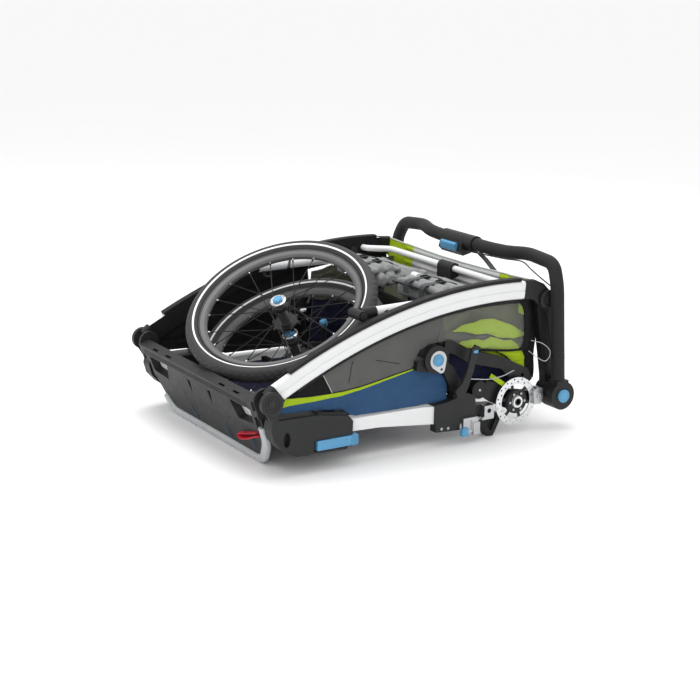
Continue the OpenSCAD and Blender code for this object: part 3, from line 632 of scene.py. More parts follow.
def bolt(name: str, at: Point, axis: Point, radius: float, height: float, body: str,
         finish: str = "silver_metal") -> bpy.types.Object:
    """A round bolt head with a socket in it, standing at a point in mm."""
    turn = Vector((0, 0, 1)).rotation_difference(Vector(axis)).to_matrix().to_4x4()
    r, h = radius * MM, height * MM
    outline = [(r, 0.0), (r, h * 0.75), (r * 0.86, h), (r * 0.5, h), (r * 0.42, h * 0.45),
               (0.0002, h * 0.4), (0.0002, 0.0)]
    return revolve(name, outline, 18, Matrix.Translation(Vector(at) * MM) @ turn, finish, body)


def wrinkle(x: float, y: float, seed: float, fine: float = 1.0) -> float:
    """Creases of cloth, about -1 to 1, at a point in metres."""
    warp = noise.noise(Vector((x * 9 * fine, y * 9 * fine, seed + 7.3)))
    ridge = noise.noise(Vector((x * 16 * fine + warp, y * 24 * fine - warp, seed)))
    small = noise.noise(Vector((x * 50 * fine, y * 60 * fine, seed + 3.1)))
    return (1 - 2 * abs(ridge)) * 0.75 + small * 0.25


def along(table: Sequence[Point], x: float) -> float:
    """The value at x of a table of (x, value)."""
    t = np.asarray(table, float)
    return float(np.interp(x, t[:, 0], t[:, 1]))


# ---------------------------------------------------------------- sub-assemblies
@dataclass
class SideTubes:
    """The two curved white tubes of the upper frame, and their dark channels."""

    steps: int = 72
    # The pivot cover's outline, radius and height in metres
    DISH = ((0.0003, -0.004), (0.0235, -0.004), (0.0235, 0.001), (0.021, 0.0028), (0.0145, 0.0028),
            (0.0135, 0.0012), (0.011, 0.0012), (0.0105, 0.0036), (0.0003, 0.0038))

    def line(self) -> np.ndarray:
        """The centre line in x and z, in mm."""
        a, d = np.array([KNUCKLE_X + 55, 0, 223.0]), np.array([TEE_X - 53, 0, 373.0])
        reach = (d[0] - a[0]) / 3
        b, c = a + reach * np.array([1, 0, 0.51]), d - reach * np.array([1, 0, -0.07])
        t = np.linspace(0, 1, self.steps + 1)[:, None]
        arc = (1 - t) ** 3 * a + 3 * (1 - t) ** 2 * t * b + 3 * (1 - t) * t * t * c + t**3 * d
        return np.vstack([a + np.array([-36.0, 0, -18.4]), a + np.array([-18.0, 0, -9.2]), arc])

    def edge(self, offset: float) -> np.ndarray:
        """A line beside the centre line, offset upwards, in mm."""
        path = self.line()
        t = np.gradient(path, axis=0)
        t /= np.linalg.norm(t, axis=1, keepdims=True)
        return path + offset * np.cross(t, (0, 1, 0))

    def section(self) -> np.ndarray:
        """The tube's outline with a groove along its outer face."""
        plain = rounded(TUBE_H, TUBE_T, 7.5, 7)
        out = []
        for k, q in enumerate(plain):
            out.append(q)
            nxt = plain[(k + 1) % len(plain)]
            if abs(q[1] - nxt[1]) < 0.01 and abs(q[0] - nxt[0]) > 10:
                s = 1 if nxt[0] > q[0] else -1
                for x, drop in ((-2.2, 0), (-1.3, 1.6), (1.3, 1.6), (2.2, 0)):
                    out.append((s * x, q[1] - math.copysign(drop, q[1])))
        return np.array(out) * MM

    def build(self) -> None:
        """Builds both tubes and the fabric channels above and below them."""
        section = self.section()
        for side, name in SIDES:
            shift = np.array([0, side * TUBE_Y, 0])
            tube = sweep(f"side_tube_{name}", (self.line() + shift) * MM, section, "white_paint",
                         "top_frame")
            if side == -1:
                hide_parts("side_tubes")
                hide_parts("front_sockets")
            inner = self.edge(0.0) + np.array([0, side * (TUBE_Y - TUBE_T / 2 - 1.2), 0])
            sweep(f"tube_cover_{name}", inner * MM, rounded(47, 1.8, 0.8) * MM, "black_cloth",
                  "top_frame")
            collar = np.linspace((-424, side * TUBE_Y, 190), (-404, side * TUBE_Y, 206), 4)
            sweep(f"knuckle_collar_{name}", collar * MM, rounded(50, 26, 7) * MM, "black_moulding",
                  "top_frame")
            outward = Matrix.Rotation(-side * math.pi / 2, 4, "X")
            ear = Matrix.Translation((TEE_X * MM, side * 0.3475, TEE_Z * MM)) @ outward
            revolve(f"pivot_cover_{name}", self.DISH, 40, ear, "black_moulding", "top_frame")
            for tag, off, y, wide in (("upper", 26.6, 0.6, 22), ("lower", -27.8, 1, 8)):
                path = (self.edge(off)[3:-3] + np.array([0, side * (TUBE_Y - y), 0])) * MM
                trim = sweep(f"channel_{tag}_{name}", path, rounded(9, wide, 3.2) * MM, "piping",
                             "top_frame")
                if side == -1 and tag == "upper":
                    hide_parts("tube_channels")


@dataclass
class Wheel:
    """A stowed spoked wheel: tyre, rim, hub and release cap."""

    tag: str
    centre: tuple[float, float, float]
    tilt: float
    azimuth: float
    rim_r: float = 213.0
    tyre_h: float = 37.0
    tyre_half: float = 22.0
    tyre_mid: float = 17.5
    tyre_reach: float = 19.5
    tread_steps: int = 56
    groove: float = 0.0016
    lugs: int = 150

    def place(self) -> Matrix:
        """The wheel's place, its axle along z."""
        azimuth = Matrix.Rotation(math.radians(self.azimuth), 4, "Z")
        tilt = Matrix.Rotation(math.radians(self.tilt), 4, "Y")
        return Matrix.Translation(Vector(self.centre) * MM) @ (azimuth @ tilt)

    def wall(self, t: float) -> tuple[float, float]:
        """A point of the tyre's outline, at an angle from the middle of the tread."""
        flat = 1.0 if math.cos(t) > 0 else 0.92
        r = self.rim_r + self.tyre_mid + self.tyre_reach * math.cos(t) * flat
        return r, self.tyre_half * math.sin(t)

    def tread(self) -> tuple[np.ndarray, list[bool]]:
        """The tyre's outline, and which of its points are on the tread."""
        outline, worn = [], []
        for k in range(self.tread_steps + 1):
            t = math.radians(-152 + 304 * k / self.tread_steps)
            r, z = self.wall(t)
            outline.append((min(r, self.rim_r + self.tyre_h), z))
            worn.append(abs(t) < math.radians(50))
        return np.array(outline) * MM, worn

    def lift(self, worn: list[bool]) -> Callable[[int, int], float]:
        """The tread's pattern of grooves, for revolve."""
        middle = self.tread_steps // 2

        def depth(i: int, j: int) -> float:
            """How much the radius changes at step i of point j."""
            row = (j - middle) // 4
            block_end = (i + row * 2) % 6 in (0, 1)
            return -self.groove if worn[j] and (block_end or (j - middle) % 8 == 3) else 0.0

        return depth

    def build(self) -> None:
        """Builds the tyre and its band, and dresses the rim, spokes and cap."""
        body, place = f"wheel_{self.tag}", self.place()
        outline, worn = self.tread()
        tyre = revolve(f"tyre_{self.tag}_rubber", outline, self.lugs * 3, place, "tyre_rubber", body,
                       self.lift(worn))
        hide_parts(f"tyre_{self.tag}")
        wall = [self.wall(math.radians(d)) for d in (101, 104, 108, 112, 115)]
        for sign, side in ((1, "top"), (-1, "under")):
            face = [(r, sign * z) for r, z in wall]
            band = [(r + 0.1, z + sign * 0.5) for r, z in face]
            band += [(r - 0.2, z - sign * 0.6) for r, z in face[::-1]]
            revolve(f"reflective_band_{self.tag}_{side}", np.array(band) * MM, 180, place,
                    "reflective_band", body)
        self.dress(place)
        self.hub_ring(place)

    def dress(self, place: Matrix) -> None:
        """Gives the rim, spokes and cap their finishes."""
        round_axle = {
            "centre": tuple(Vector(self.centre) * MM), "axis": tuple(place.to_3x3() @ Vector((0, 0, 1))),
        }
        FINISHES.add(TurnedFinish(
            f"spokes_{self.tag}_finish", (0.012, 0.012, 0.0125), 0.4, 0.3, Grain.PAINT, 0.001, 0.08,
            rings=((0.0, 0.0136, (0.2, 0.2, 0.205), 0.8, 0.4),
                   (0.1885, 0.2, (0.6, 0.6, 0.61), 1.0, 0.3)),
            **round_axle,
        ))
        FINISHES.add(TurnedFinish(
            f"rim_{self.tag}_finish", (0.13, 0.13, 0.13), 0.5, 0.2, Grain.PAINT, 0.001, 0.06,
            rings=((0.2095, 0.2120, (0.03, 0.03, 0.03), 0.0, 0.6),
                   (0.1985, 0.1993, (0.06, 0.06, 0.06), 0.2, 0.5)),
            **round_axle,
        ))
        dress({
            f"rim_{self.tag}": f"rim_{self.tag}_finish",
            f"spokes_{self.tag}": f"spokes_{self.tag}_finish",
            f"cap_{self.tag}": "blue_plastic",
        })

    def hub_ring(self, place: Matrix) -> None:
        """A drilled silver ring round the release cap, and a valve on the rim."""
        ring = [(0.0158, 0.0262), (0.0158, 0.0306), (0.0172, 0.0312),
                (0.0205, 0.0300), (0.0212, 0.0285), (0.0200, 0.0262)]
        revolve(f"hub_ring_{self.tag}", ring, 64, place, "silver_metal", "base")
        turn = place.to_3x3()
        # painted shade: each hole is a black disc set into the ring, standing for the dark inside of the
        # hole
        hole = [(0.0002, -0.001), (0.0013, -0.001), (0.0013, 0.0006), (0.0002, 0.0006)]
        for k in range(10):
            at = place @ self.polar(0.0186, math.tau * k / 10, 0.0303)
            spot = Matrix.Translation(at) @ turn.to_4x4()
            revolve(f"hub_ring_hole_shade_{self.tag}_{k}", hole, 10, spot, "black_moulding", "base")
        start, end = (place @ self.polar(r, math.radians(200), 0.0) for r in (0.196, 0.158))
        sweep(f"valve_{self.tag}", np.linspace(start, end, 8), disc(0.0031, 14), "cable_skin",
              f"wheel_{self.tag}", tuple(turn @ Vector((0, 0, 1))), lambda f: 1.0 if f < 0.6 else 1.25)

    @staticmethod
    def polar(r: float, t: float, z: float) -> Vector:
        """A point at radius r and angle t, z up the axle."""
        return Vector((r * math.cos(t), r * math.sin(t), z))


@dataclass
class SideCloth:
    """The stitched cloth of one side, from the skirt up to the side tube."""

    side: int
    tag: str
    tube: SideTubes
    taut_y: float = 322.6
    # Edges as (x, z), in mm
    PANEL = ((-30, 0), (-18, 226), (0, 256), (36, 266), (80, 268))
    CORNER = ((-400, 192), (-388, 199), (-366, 216), (-350, 400))
    BAND_TOP = ((-400, 188), (-372, 186), (-312, 182), (-229, 182), (-175, 186), (-116, 195), (-60, 204),
                (-14, 211), (40, 206))
    BAND_LOW = ((-400, 164), (-372, 168), (-312, 169), (-229, 172), (-175, 179), (-116, 189), (-60, 199),
                (-14, 208), (40, 203), (60, 192), (86, 160))
    SKIRT = ((-400, 154), (-380, 151), (-310, 147.5), (-260, 143), (-222, 138), (-205, 124), (-190, 118),
             (-60, 114.8), (48, 113.5), (86, 118))

    def roof(self, x: float) -> float:
        """The height of the cloth's upper edge under the tube, in mm."""
        low = self.tube.edge(-26.0)
        return min(along(low[:, (0, 2)], x), along(self.CORNER, x))

    def band_top(self, x: float) -> float:
        """The height of the lime band's upper edge, in mm."""
        return along(self.BAND_TOP, x)

    def band_low(self, x: float) -> float:
        """The height of the lime band's lower edge, in mm."""
        return along(self.BAND_LOW, x)

    def skirt_low(self, x: float) -> float:
        """The height of the skirt's lower edge, in mm."""
        return along(self.SKIRT, x)

    def panel_low(self, x: float) -> float:
        """The height of the side panel's lower edge, in mm."""
        return max(self.band_top(x), along(self.PANEL, x) if x > self.PANEL[0][0] else 0)

    @staticmethod
    def seam(v: float) -> float:
        """The x of the seam between net and panel, given how far up it is."""
        return -252.0 - 30.0 * v

    def depth(self, x: float, z: float) -> float:
        """How far the cloth is from the middle of the trailer, in mm."""
        skirt = max(0.0, min(1.0, (206 - z) / 40))
        belly = 4.0 * skirt * math.sin(math.pi * min(1, max(0, (x + 400) / 440)))
        fold = wrinkle(x * MM, z * MM * 1.4, 4.0 + self.side) * (1.2 + 2.2 * skirt)
        return self.taut_y + belly + fold * (1.0 if z < 250 else 0.5)

    def patch(self, name: str, left: Callable[[float], float], right: Callable[[float], float],
              low: Callable[[float], float], high: Callable[[float], float], finish: str,
              rows: int, cols: int, puff: float = 0.0) -> bpy.types.Object:
        """One cut of cloth between two curves.

        Args:
            name: the piece's name.
            left: its left edge's x, given how far up it is.
            right: its right edge's x.
            low: its lower edge's z, given x.
            high: its upper edge's z.
            finish: its finish.
            rows: points up it.
            cols: points along it.
            puff: how far its middle stands out.

        Returns:
            The piece.
        """
        grid = np.zeros((rows, cols, 3))
        for i in range(rows):
            v = i / (rows - 1)
            for j in range(cols):
                u = j / (cols - 1)
                x = left(v) + (right(v) - left(v)) * u
                z = low(x) + (high(x) - low(x)) * v
                y = self.depth(x, z) + puff * math.sin(math.pi * v)
                grid[i, j] = (x, self.side * y, z)
        if self.side > 0:
            grid = grid[:, ::-1]
        piece = shell(f"{name}_{self.tag}", grid * MM, CLOTH_T, "black_cloth", "", finish)
        grid * MM
        return across_fold(piece)

    def build(self) -> None:
        """Builds the skirt, band, net and panel, with their piping and stitches."""
        start, end, rear = (lambda v: -396.0), (lambda v: 44.0), (lambda v: 84.0)
        top, low = self.band_top, self.band_low
        skirt = self.patch("skirt_cloth", start, rear, self.skirt_low, low, "denim_cloth", 26, 120)
        self.patch("band_cloth", start, end, low, top, "lime_cloth", 8, 120, 1.4)
        self.patch("net_corner", start, self.seam, top, self.roof, "black_net", 16, 40)
        panel = self.patch("panel_cloth", self.seam, lambda v: 66.0 + 8 * (1 - v), self.panel_low,
                           self.roof, "grey_cloth", 26, 100)
        if self.side < 0:
            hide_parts("side_skirts")
            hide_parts("side_panels")
        heights = np.linspace(0, 1, 14)
        sewn = [(x, top(x) + (self.roof(x) - top(x)) * v)
                for x, v in zip(map(self.seam, heights), heights)]
        self.trim("net_seam", sewn, "pale_piping", 1.1)
        for k, (x0, z0, x1, z1) in enumerate(((-128, 246, -60, 228), (-205, 200, -195, 252))):
            line = [(x0 + (x1 - x0) * t, z0 + (z1 - z0) * t) for t in np.linspace(0, 1, 16)]
            self.trim(f"panel_stitch_{k}", line, "piping", 0.7)
        self.trim("band_piping", [(x, top(x) + 0.6) for x in np.linspace(-392, 0, 60)], "piping", 1.3)

    def trim(self, name: str, line: Sequence[Point], finish: str, radius: float) -> None:
        """A thin cord sewn onto the cloth along a line of (x, z), in mm."""
        path = [(x, self.side * (self.depth(x, z) + 0.9), z) for x, z in line]
        across_fold(sweep(f"{name}_{self.tag}", np.array(path) * MM, disc(radius * MM, 8), finish, ""))


def across_fold(piece: bpy.types.Object, start: float = 0.25, end: float = 0.305) -> bpy.types.Object:
    """Bakes the piece's place into its mesh."""
    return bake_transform(piece)


@dataclass
class CrumpledCover:
    """The bunched rain cover behind the rear side window."""

    side: int
    tag: str
    THICK = 0.0014
    BEND = (0.09, 0.21)  # heights between the base and the upper frame, handed to across_fold
    # Each fold: name, upper edge and lower edge as (x, z), depth, bulge, finish
    FOLDS = (
        ("lime_top", ((112, 284), (150, 294), (196, 302), (240, 298), (269, 286), (305, 272),
                      (340, 254)),
         ((112, 281), (176, 268), (215, 262), (253, 247), (300, 240), (340, 246)), 301, 8, "lime_cloth"),
        ("grey_between", ((84, 276), (176, 272), (253, 252), (338, 232)),
         ((84, 236), (169, 248), (228, 244), (294, 228), (338, 204)), 294, 5, "grey_cloth"),
        ("lime_main",
         ((108, 243), (140, 252), (169, 257), (205, 247), (228, 254), (270, 240), (294, 238), (318, 220),
          (339, 190)),
         ((108, 241), (150, 226), (182, 221), (215, 226), (237, 217), (274, 200), (300, 176), (320, 160),
          (339, 150)), 305, 9,
         "lime_cloth"),
        ("olive_under", ((176, 228), (237, 222), (274, 206), (306, 178), (330, 160)),
         ((176, 214), (215, 206), (255, 184), (301, 163), (330, 150)), 297, 5, "lime_cloth"),
        ("navy_behind", ((60, 262), (169, 236), (228, 226), (294, 206), (344, 190)),
         ((60, 128), (150, 112), (228, 108), (300, 110), (344, 118)), 286, 5, "navy_cloth"),
        # painted shade: a dark sheet just inside the window, standing for the shaded cabin behind it
        ("cabin_shade_behind", ((56, 327), (120, 338), (200, 341), (280, 345), (366, 345)),
         ((56, 250), (169, 232), (228, 222), (294, 200), (366, 128)), 282, 4, "cabin_shade_cloth"),
    )

    rows: int = 22
    cols: int = 84

    def grid(self, top: Sequence[Point], low: Sequence[Point], depth: float, bulge: float) -> np.ndarray:
        """The creased points of one fold.

        Args:
            top: its upper edge.
            low: its lower edge.
            depth: how far it is from the middle of the trailer.
            bulge: how far its middle stands out.

        Returns:
            Its points in mm, lowest row first.
        """
        x0, x1 = top[0][0], top[-1][0]
        grid = np.zeros((self.rows, self.cols, 3))
        for i in range(self.rows):
            v = i / (self.rows - 1)
            for j in range(self.cols):
                x = x0 + (x1 - x0) * j / (self.cols - 1)
                z = along(low, x) + (along(top, x) - along(low, x)) * v
                ends = math.sin(math.pi * min(1.0, max(0.0, (x - x0) / (x1 - x0)))) ** 0.3
                y = depth + bulge * math.sin(math.pi * (0.15 + 0.8 * v)) * ends
                y += wrinkle(x * MM, z * MM * 2.2, depth + self.side) * 4.5
                y += wrinkle(x * MM * 2.2, z * MM * 5.0, depth + 3.0) * 2.0
                z += wrinkle(x * MM * 0.8, depth * 0.01, depth + 9.0) * 4.5
                grid[i, j] = (x, self.side * y, z)
        return grid

    def gusset(self) -> None:
        """The dark strip of cloth between the cover and the post."""
        grid = np.array([[(332 + 44 * j / 9, self.side * (303 + 2 * math.sin(i * 0.7)),
                           128 + 216 * i / 23)
                          for j in range(10)] for i in range(24)])
        strip = shell(f"post_gusset_{self.tag}", grid * MM, self.THICK, "black_cloth", "")
        across_fold(strip, *self.BEND)

    def build(self) -> None:
        """Builds each fold with the dark piping along its lower edge."""
        for k, (name, top, low, depth, bulge, finish) in enumerate(self.FOLDS):
            grid = self.grid(top, low, depth, bulge)
            hem = grid[0].copy()
            if self.side > 0:
                grid = grid[:, ::-1]
            fold = shell(f"cover_{name}_{self.tag}", grid * MM, self.THICK, finish, "")
            across_fold(fold, *self.BEND)
            grid * MM
            if finish == "lime_cloth":
                hem[:, 1] += self.side * 1.2
                cord = sweep(f"cover_hem_{name}_{self.tag}", hem * MM, disc(0.0017, 8), "piping", "")
                across_fold(cord, *self.BEND)
            if k == 0:
                self.gusset()
                if self.side < 0:
                    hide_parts("side_folds")


@dataclass
class Windows:
    """The clear side windows with their dark bound edges."""

    tube: SideTubes
    rings: int = 6
    flat: tuple[float, float] = (0.285, 0.135)

    def outline(self) -> list[tuple[float, float]]:
        """The clear area's outline in x and z, in mm."""
        low = self.tube.edge(-36.0)[:, (0, 2)]
        top = [(x, along(low, x)) for x in np.linspace(66, 290, 24)]
        left = [(62, 292), (56, 284), (56, 276), (64, 266), (76, 258)]
        corner = [(304, 338), (314, 330), (320, 318), (323, 300), (325, 262), (325, 236), (320, 223),
                  (308, 218)]
        base = [(280, 220), (220, 228), (150, 240), (96, 252)]
        return left[::-1] + top + corner + base

    def build(self) -> None:
        """Builds both films and their bindings."""
        spots = np.array(self.outline())
        middle = spots.mean(0)
        for side, tag in SIDES:
            verts, faces = [], []
            for k in range(self.rings):
                for q in spots:
                    x, z = middle + (q - middle) * (1 - k / self.rings)
                    y = 320.6 + 1.2 * wrinkle(x * MM * 0.5, z * MM * 0.5, 2.0)
                    verts.append((x, side * (y - 1.0), z))
            verts.append((middle[0], side * 319.6, middle[1]))
            n = len(spots)
            for k in range(self.rings - 1):
                for j in range(n):
                    q = (j + 1) % n
                    faces.append((k * n + j, k * n + q, (k + 1) * n + q, (k + 1) * n + j))
            inner = (self.rings - 1) * n
            faces += [(inner + j, inner + (j + 1) % n, inner + n) for j in range(n)]
            film = make(f"window_{tag}", np.array(verts) * MM, faces, "window_film", "top_frame")
            if side < 0:
                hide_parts("windows")
            self.binding(side, tag, spots)

    def binding(self, side: int, tag: str, spots: np.ndarray) -> None:
        """The dark binding round one window, wide at its rear and upper edges."""
        top = self.tube.edge(-24.0)[:, (0, 2)]
        outer = []
        for x, z in spots:
            roof = along(top, x)
            if z > roof - 30 and 50 < x < 340:
                outer.append((x + (16 if x > 300 else 0), roof if x <= 322 else min(roof, z + 20)))
            elif x > 303:
                outer.append((x + 16, z - (6 if z < 225 else 0)))
            elif x < 80:
                outer.append((x - 6, z - 4))
            else:
                outer.append((x, z - 6))
        rows = [spots, (spots + np.array(outer)) / 2, np.array(outer)]
        grid = np.array([[(x, side * (321.4 + 0.8 * k), z) for x, z in [*row, row[0]]]
                         for k, row in enumerate(rows)])
        if side > 0:
            grid = grid[:, ::-1]
        shell(f"window_binding_{tag}", grid * MM, 0.0016, "black_cloth", "top_frame")


@dataclass
class RearPanel:
    """The pleated rear panel with its lime ends."""

    face_x: float = 334.0
    half: float = 314.0
    middle: float = 196.0
    rows: int = 40

    def grid(self, y0: float, y1: float, count: int) -> np.ndarray:
        """Points of the panel between two widths, in mm."""
        grid = np.zeros((self.rows, count, 3))
        for i in range(self.rows):
            v = i / (self.rows - 1)
            for j in range(count):
                y = y0 + (y1 - y0) * j / (count - 1)
                z = 302 + 92 * v - 9 * math.sin(math.pi * (y + self.half) / (2 * self.half)) * v
                pleat = 3.2 * abs(math.sin(v * math.pi * 4.5)) if abs(y) < 235 else 0.8 * math.sin(v * 9)
                x = self.face_x - 4 + 6 * v + pleat + wrinkle(y * MM * 0.5, z * MM, 1.7) * 1.6
                grid[i, j] = (x, y, z)
        return grid * MM

    def build(self) -> None:
        """Builds the three cuts, the top binding and the blank tag."""
        cuts = (("near", -self.half, -self.middle, "lime_cloth", 40),
                ("middle", -self.middle, self.middle, "pale_cloth", 110),
                ("far", self.middle, self.half, "lime_cloth", 40))
        for tag, y0, y1, finish, count in cuts:
            piece = shell(f"rear_cloth_{tag}", self.grid(y0, y1, count), 0.0018, finish, "top_frame")
            self.grid(y0, y1, count)
            if tag == "middle":
                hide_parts("rear_panel")
        rim = self.grid(-self.half, self.half, 90)[-1]
        sweep("rear_top_binding", rim + np.array([0, 0, 0.0005]), disc(0.0022, 10), "pale_piping",
              "top_frame", (1, 0, 0))
        for k, y in enumerate((-self.middle, self.middle)):
            seam = self.grid(y, y + 0.01, 2)[:, 0] - np.array([0.0012, 0, 0])
            sweep(f"rear_seam_{k}", seam, disc(0.0011, 8), "pale_piping", "top_frame")
        hung = np.array([[(329.5 - 5 * math.sin(2.6 * i / 9), 118 + 26 * j / 5, 306 + 30 * i / 9)
                          for j in range(6)] for i in range(10)])
        shell("blank_tag", hung * MM, 0.0008, "white_tag", "top_frame")


@dataclass
class Seats:
    """The padded seats, their harness straps and the cloth under them."""

    SHRINK = (3.0, 3.0, 4.0)  # how much smaller than its box a pad starts, in mm
    CELLS = (14, 18, 3)
    SWELL = 0.007

    def pad(self, name: str, low: Point, high: Point, channels: Sequence[float]) -> bpy.types.Object:
        """A stuffed pad, swelled by a cloth simulation and then quilted.

        Args:
            name: the piece's name.
            low: its box's lowest corner, in mm.
            high: its highest corner.
            channels: the x of each sewn channel, in mm.

        Returns:
            The pad.
        """
        lo, hi = np.array(low, float), np.array(high, float)
        a, b = (lo + self.SHRINK) * MM, (hi - self.SHRINK) * MM
        n = self.CELLS
        verts, index = [], {}
        for i in range(n[0] + 1):
            for j in range(n[1] + 1):
                for k in range(n[2] + 1):
                    if i in (0, n[0]) or j in (0, n[1]) or k in (0, n[2]):
                        t = np.array([i / n[0], j / n[1], k / n[2]])
                        p = a + (b - a) * t
                        pull = 1 - 0.05 * (math.sin(math.pi * t[0]) * (j in (0, n[1])))
                        p[1] = (a[1] + b[1]) / 2 + (p[1] - (a[1] + b[1]) / 2) * pull
                        index[i, j, k] = len(verts)
                        verts.append(p)
        faces = []
        for axis in range(3):
            u, v = [q for q in range(3) if q != axis]
            for end in (0, n[axis]):
                for p in range(n[u]):
                    for q in range(n[v]):
                        quad = []
                        for du, dv in ((0, 0), (1, 0), (1, 1), (0, 1)):
                            key = [0, 0, 0]
                            key[axis], key[u], key[v] = end, p + du, q + dv
                            quad.append(index[tuple(key)])
                        faces.append(quad if (end == 0) != (axis != 1) else quad[::-1])
        piece = make(name, verts, faces, "pad_cloth", "")
        self.swell(piece)
        self.quilt(piece, lo, hi, channels)
        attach(piece, "base")
        return piece

    def swell(self, piece: bpy.types.Object) -> None:
        """Remeshes a pad and lets cloth pressure swell it, up to its limit."""
        scene = bpy.context.scene
        bpy.context.view_layer.objects.active = piece
        remesh = piece.modifiers.new("remesh", "REMESH")
        remesh.mode, remesh.voxel_size = "VOXEL", 0.005
        bpy.context.view_layer.update()
        bpy.ops.object.modifier_apply(modifier=remesh.name)
        before = np.array([v.co for v in piece.data.vertices])
        cloth = piece.modifiers.new("cloth", "CLOTH")
        cloth.settings.use_pressure = True
        cloth.settings.uniform_pressure_force = 4.0
        cloth.settings.effector_weights.gravity = 0.0
        cloth.settings.quality = 5
        for step in range(1, 21):
            scene.frame_set(step)
        held = piece.evaluated_get(bpy.context.evaluated_depsgraph_get()).data
        after = np.array([v.co for v in held.vertices])
        move = after - before
        far = np.linalg.norm(move, axis=1, keepdims=True)
        after = before + move * np.minimum(1.0, self.SWELL / np.maximum(far, 1e-9))
        piece.modifiers.remove(cloth)
        scene.frame_set(1)
        piece.data.vertices.foreach_set("co", after.ravel())
        piece.data.polygons.foreach_set("use_smooth", [True] * len(piece.data.polygons))
        piece.data.update()

    @staticmethod
    def quilt(piece: bpy.types.Object, lo: np.ndarray, hi: np.ndarray,
              channels: Sequence[float]) -> None:
        """Pulls the sewn channels in, keeps the pad in its box and adds soft folds."""
        co = np.array([v.co for v in piece.data.vertices]) / MM
        mid = (lo[2] + hi[2]) / 2
        for k, p in enumerate(co):
            pull = max([0.62 * math.exp(-(((p[0] - c) / 4.5) ** 2)) for c in channels] or [0.0])
            p[2] += (mid - p[2]) * pull
            p[2] += wrinkle(p[0] * MM * 0.6, p[1] * MM * 0.6, 5.5) * 0.7
            co[k] = np.minimum(np.maximum(p, lo - 3), hi + 3)
        piece.data.vertices.foreach_set("co", (co * MM).ravel())
        piece.data.update()

    def build(self) -> None:
        """Builds the pads, piping, straps, buckles, liner and floor."""
        x0, x1 = 115.0, 281.0
        for side, tag in SIDES:
            mid = 148.0 * side
            seat = self.pad(f"seat_back_{tag}", (x0, mid - 116, 324), (x1, mid + 116, 358),
                            (150, 186, 222, 258))
            rest = self.pad(f"head_rest_{tag}", (x0 - 12, mid - 101, 354), (203, mid + 101, 376),
                            (126, 158, 186))
            if side < 0:
                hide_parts("seat_pads")
                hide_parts("seat_pads")
            for k, off in enumerate((-34, 34)):
                path = curve_through([(x0 - 16, mid + off, 344), (x0 - 12, mid + off, 374),
                                      (x0 + 26, mid + off, 379), (x0 + 62, mid + off + 4, 378),
                                      (x0 + 92, mid + off + 8, 371), (x0 + 106, mid + off + 9, 361),
                                      (x0 + 140, mid + off + 10, 359)], 6)
                sweep(f"harness_{tag}_{k}", path * MM, rounded(1.8, 21, 0.8, 2) * MM, "grey_webbing",
                      "base")
                self.buckle(f"buckle_{tag}_{k}", (x0 + 46, mid + off + 2, 381))
            hem = curve_through([(x0 - 14, mid - 98, 364), (x0 - 15, mid, 366),
                                 (x0 - 14, mid + 98, 364)], 14)
            sweep(f"head_rest_piping_{tag}", hem * MM, disc(0.0022, 10), "piping", "base", (1, 0, 0))
        self.liner()

    @staticmethod
    def buckle(name: str, at: Point) -> None:
        """A small moulded slide buckle."""
        x, y, z = at
        corners = ((-9, -12), (9, -12), (9, 12), (-9, 12), (-9, -11))
        ring = bent([(x + dx, y + dy, z) for dx, dy in corners], 4, 4)
        sweep(name, ring * MM, rounded(3.2, 4.2, 1.2, 3) * MM, "black_moulding", "base", (0, 0, 1))

    def liner(self) -> None:
        """The dark liner round the seats, and the cabin floor."""
        grid = np.zeros((44, 60, 3))
        for i in range(44):
            for j in range(60):
                x, y = 92 + 236 * i / 43, -286 + 572 * j / 59
                sag = 14 * math.sin(math.pi * j / 59) * math.sin(math.pi * i / 43)
                grid[i, j] = (x, y, 282 - sag + wrinkle(x * MM, y * MM, 8.0) * 5 - 60 * (i / 43) ** 3)
        liner = shell("cabin_liner", grid[::-1] * MM, 0.0016, "black_cloth", "base")
        grid * MM
        floor = np.zeros((70, 64, 3))
        for i in range(70):
            for j in range(64):
                x, y = -388 + 538 * i / 69, -282 + 564 * j / 63
                lift = 12 * (abs(y) / 282) ** 6 + wrinkle(x * MM * 0.6, y * MM * 0.6, 6.0) * 3
                floor[i, j] = (x, y, 84 + lift)
        cloth = shell("cabin_floor_cloth", floor[::-1] * MM, 0.002, "navy_cloth", "base")
        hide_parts("floor_panel")
        floor * MM
        for k, y in enumerate((-150, 20, 190)):
            stations = np.linspace(-380, 140, 60)
            line = [(x, y, 88 + wrinkle(x * MM * 0.6, y * MM * 0.6, 6.0) * 3) for x in stations]
            sweep(f"floor_piping_{k}", np.array(line) * MM, disc(0.0016, 8), "lime_cloth", "base")


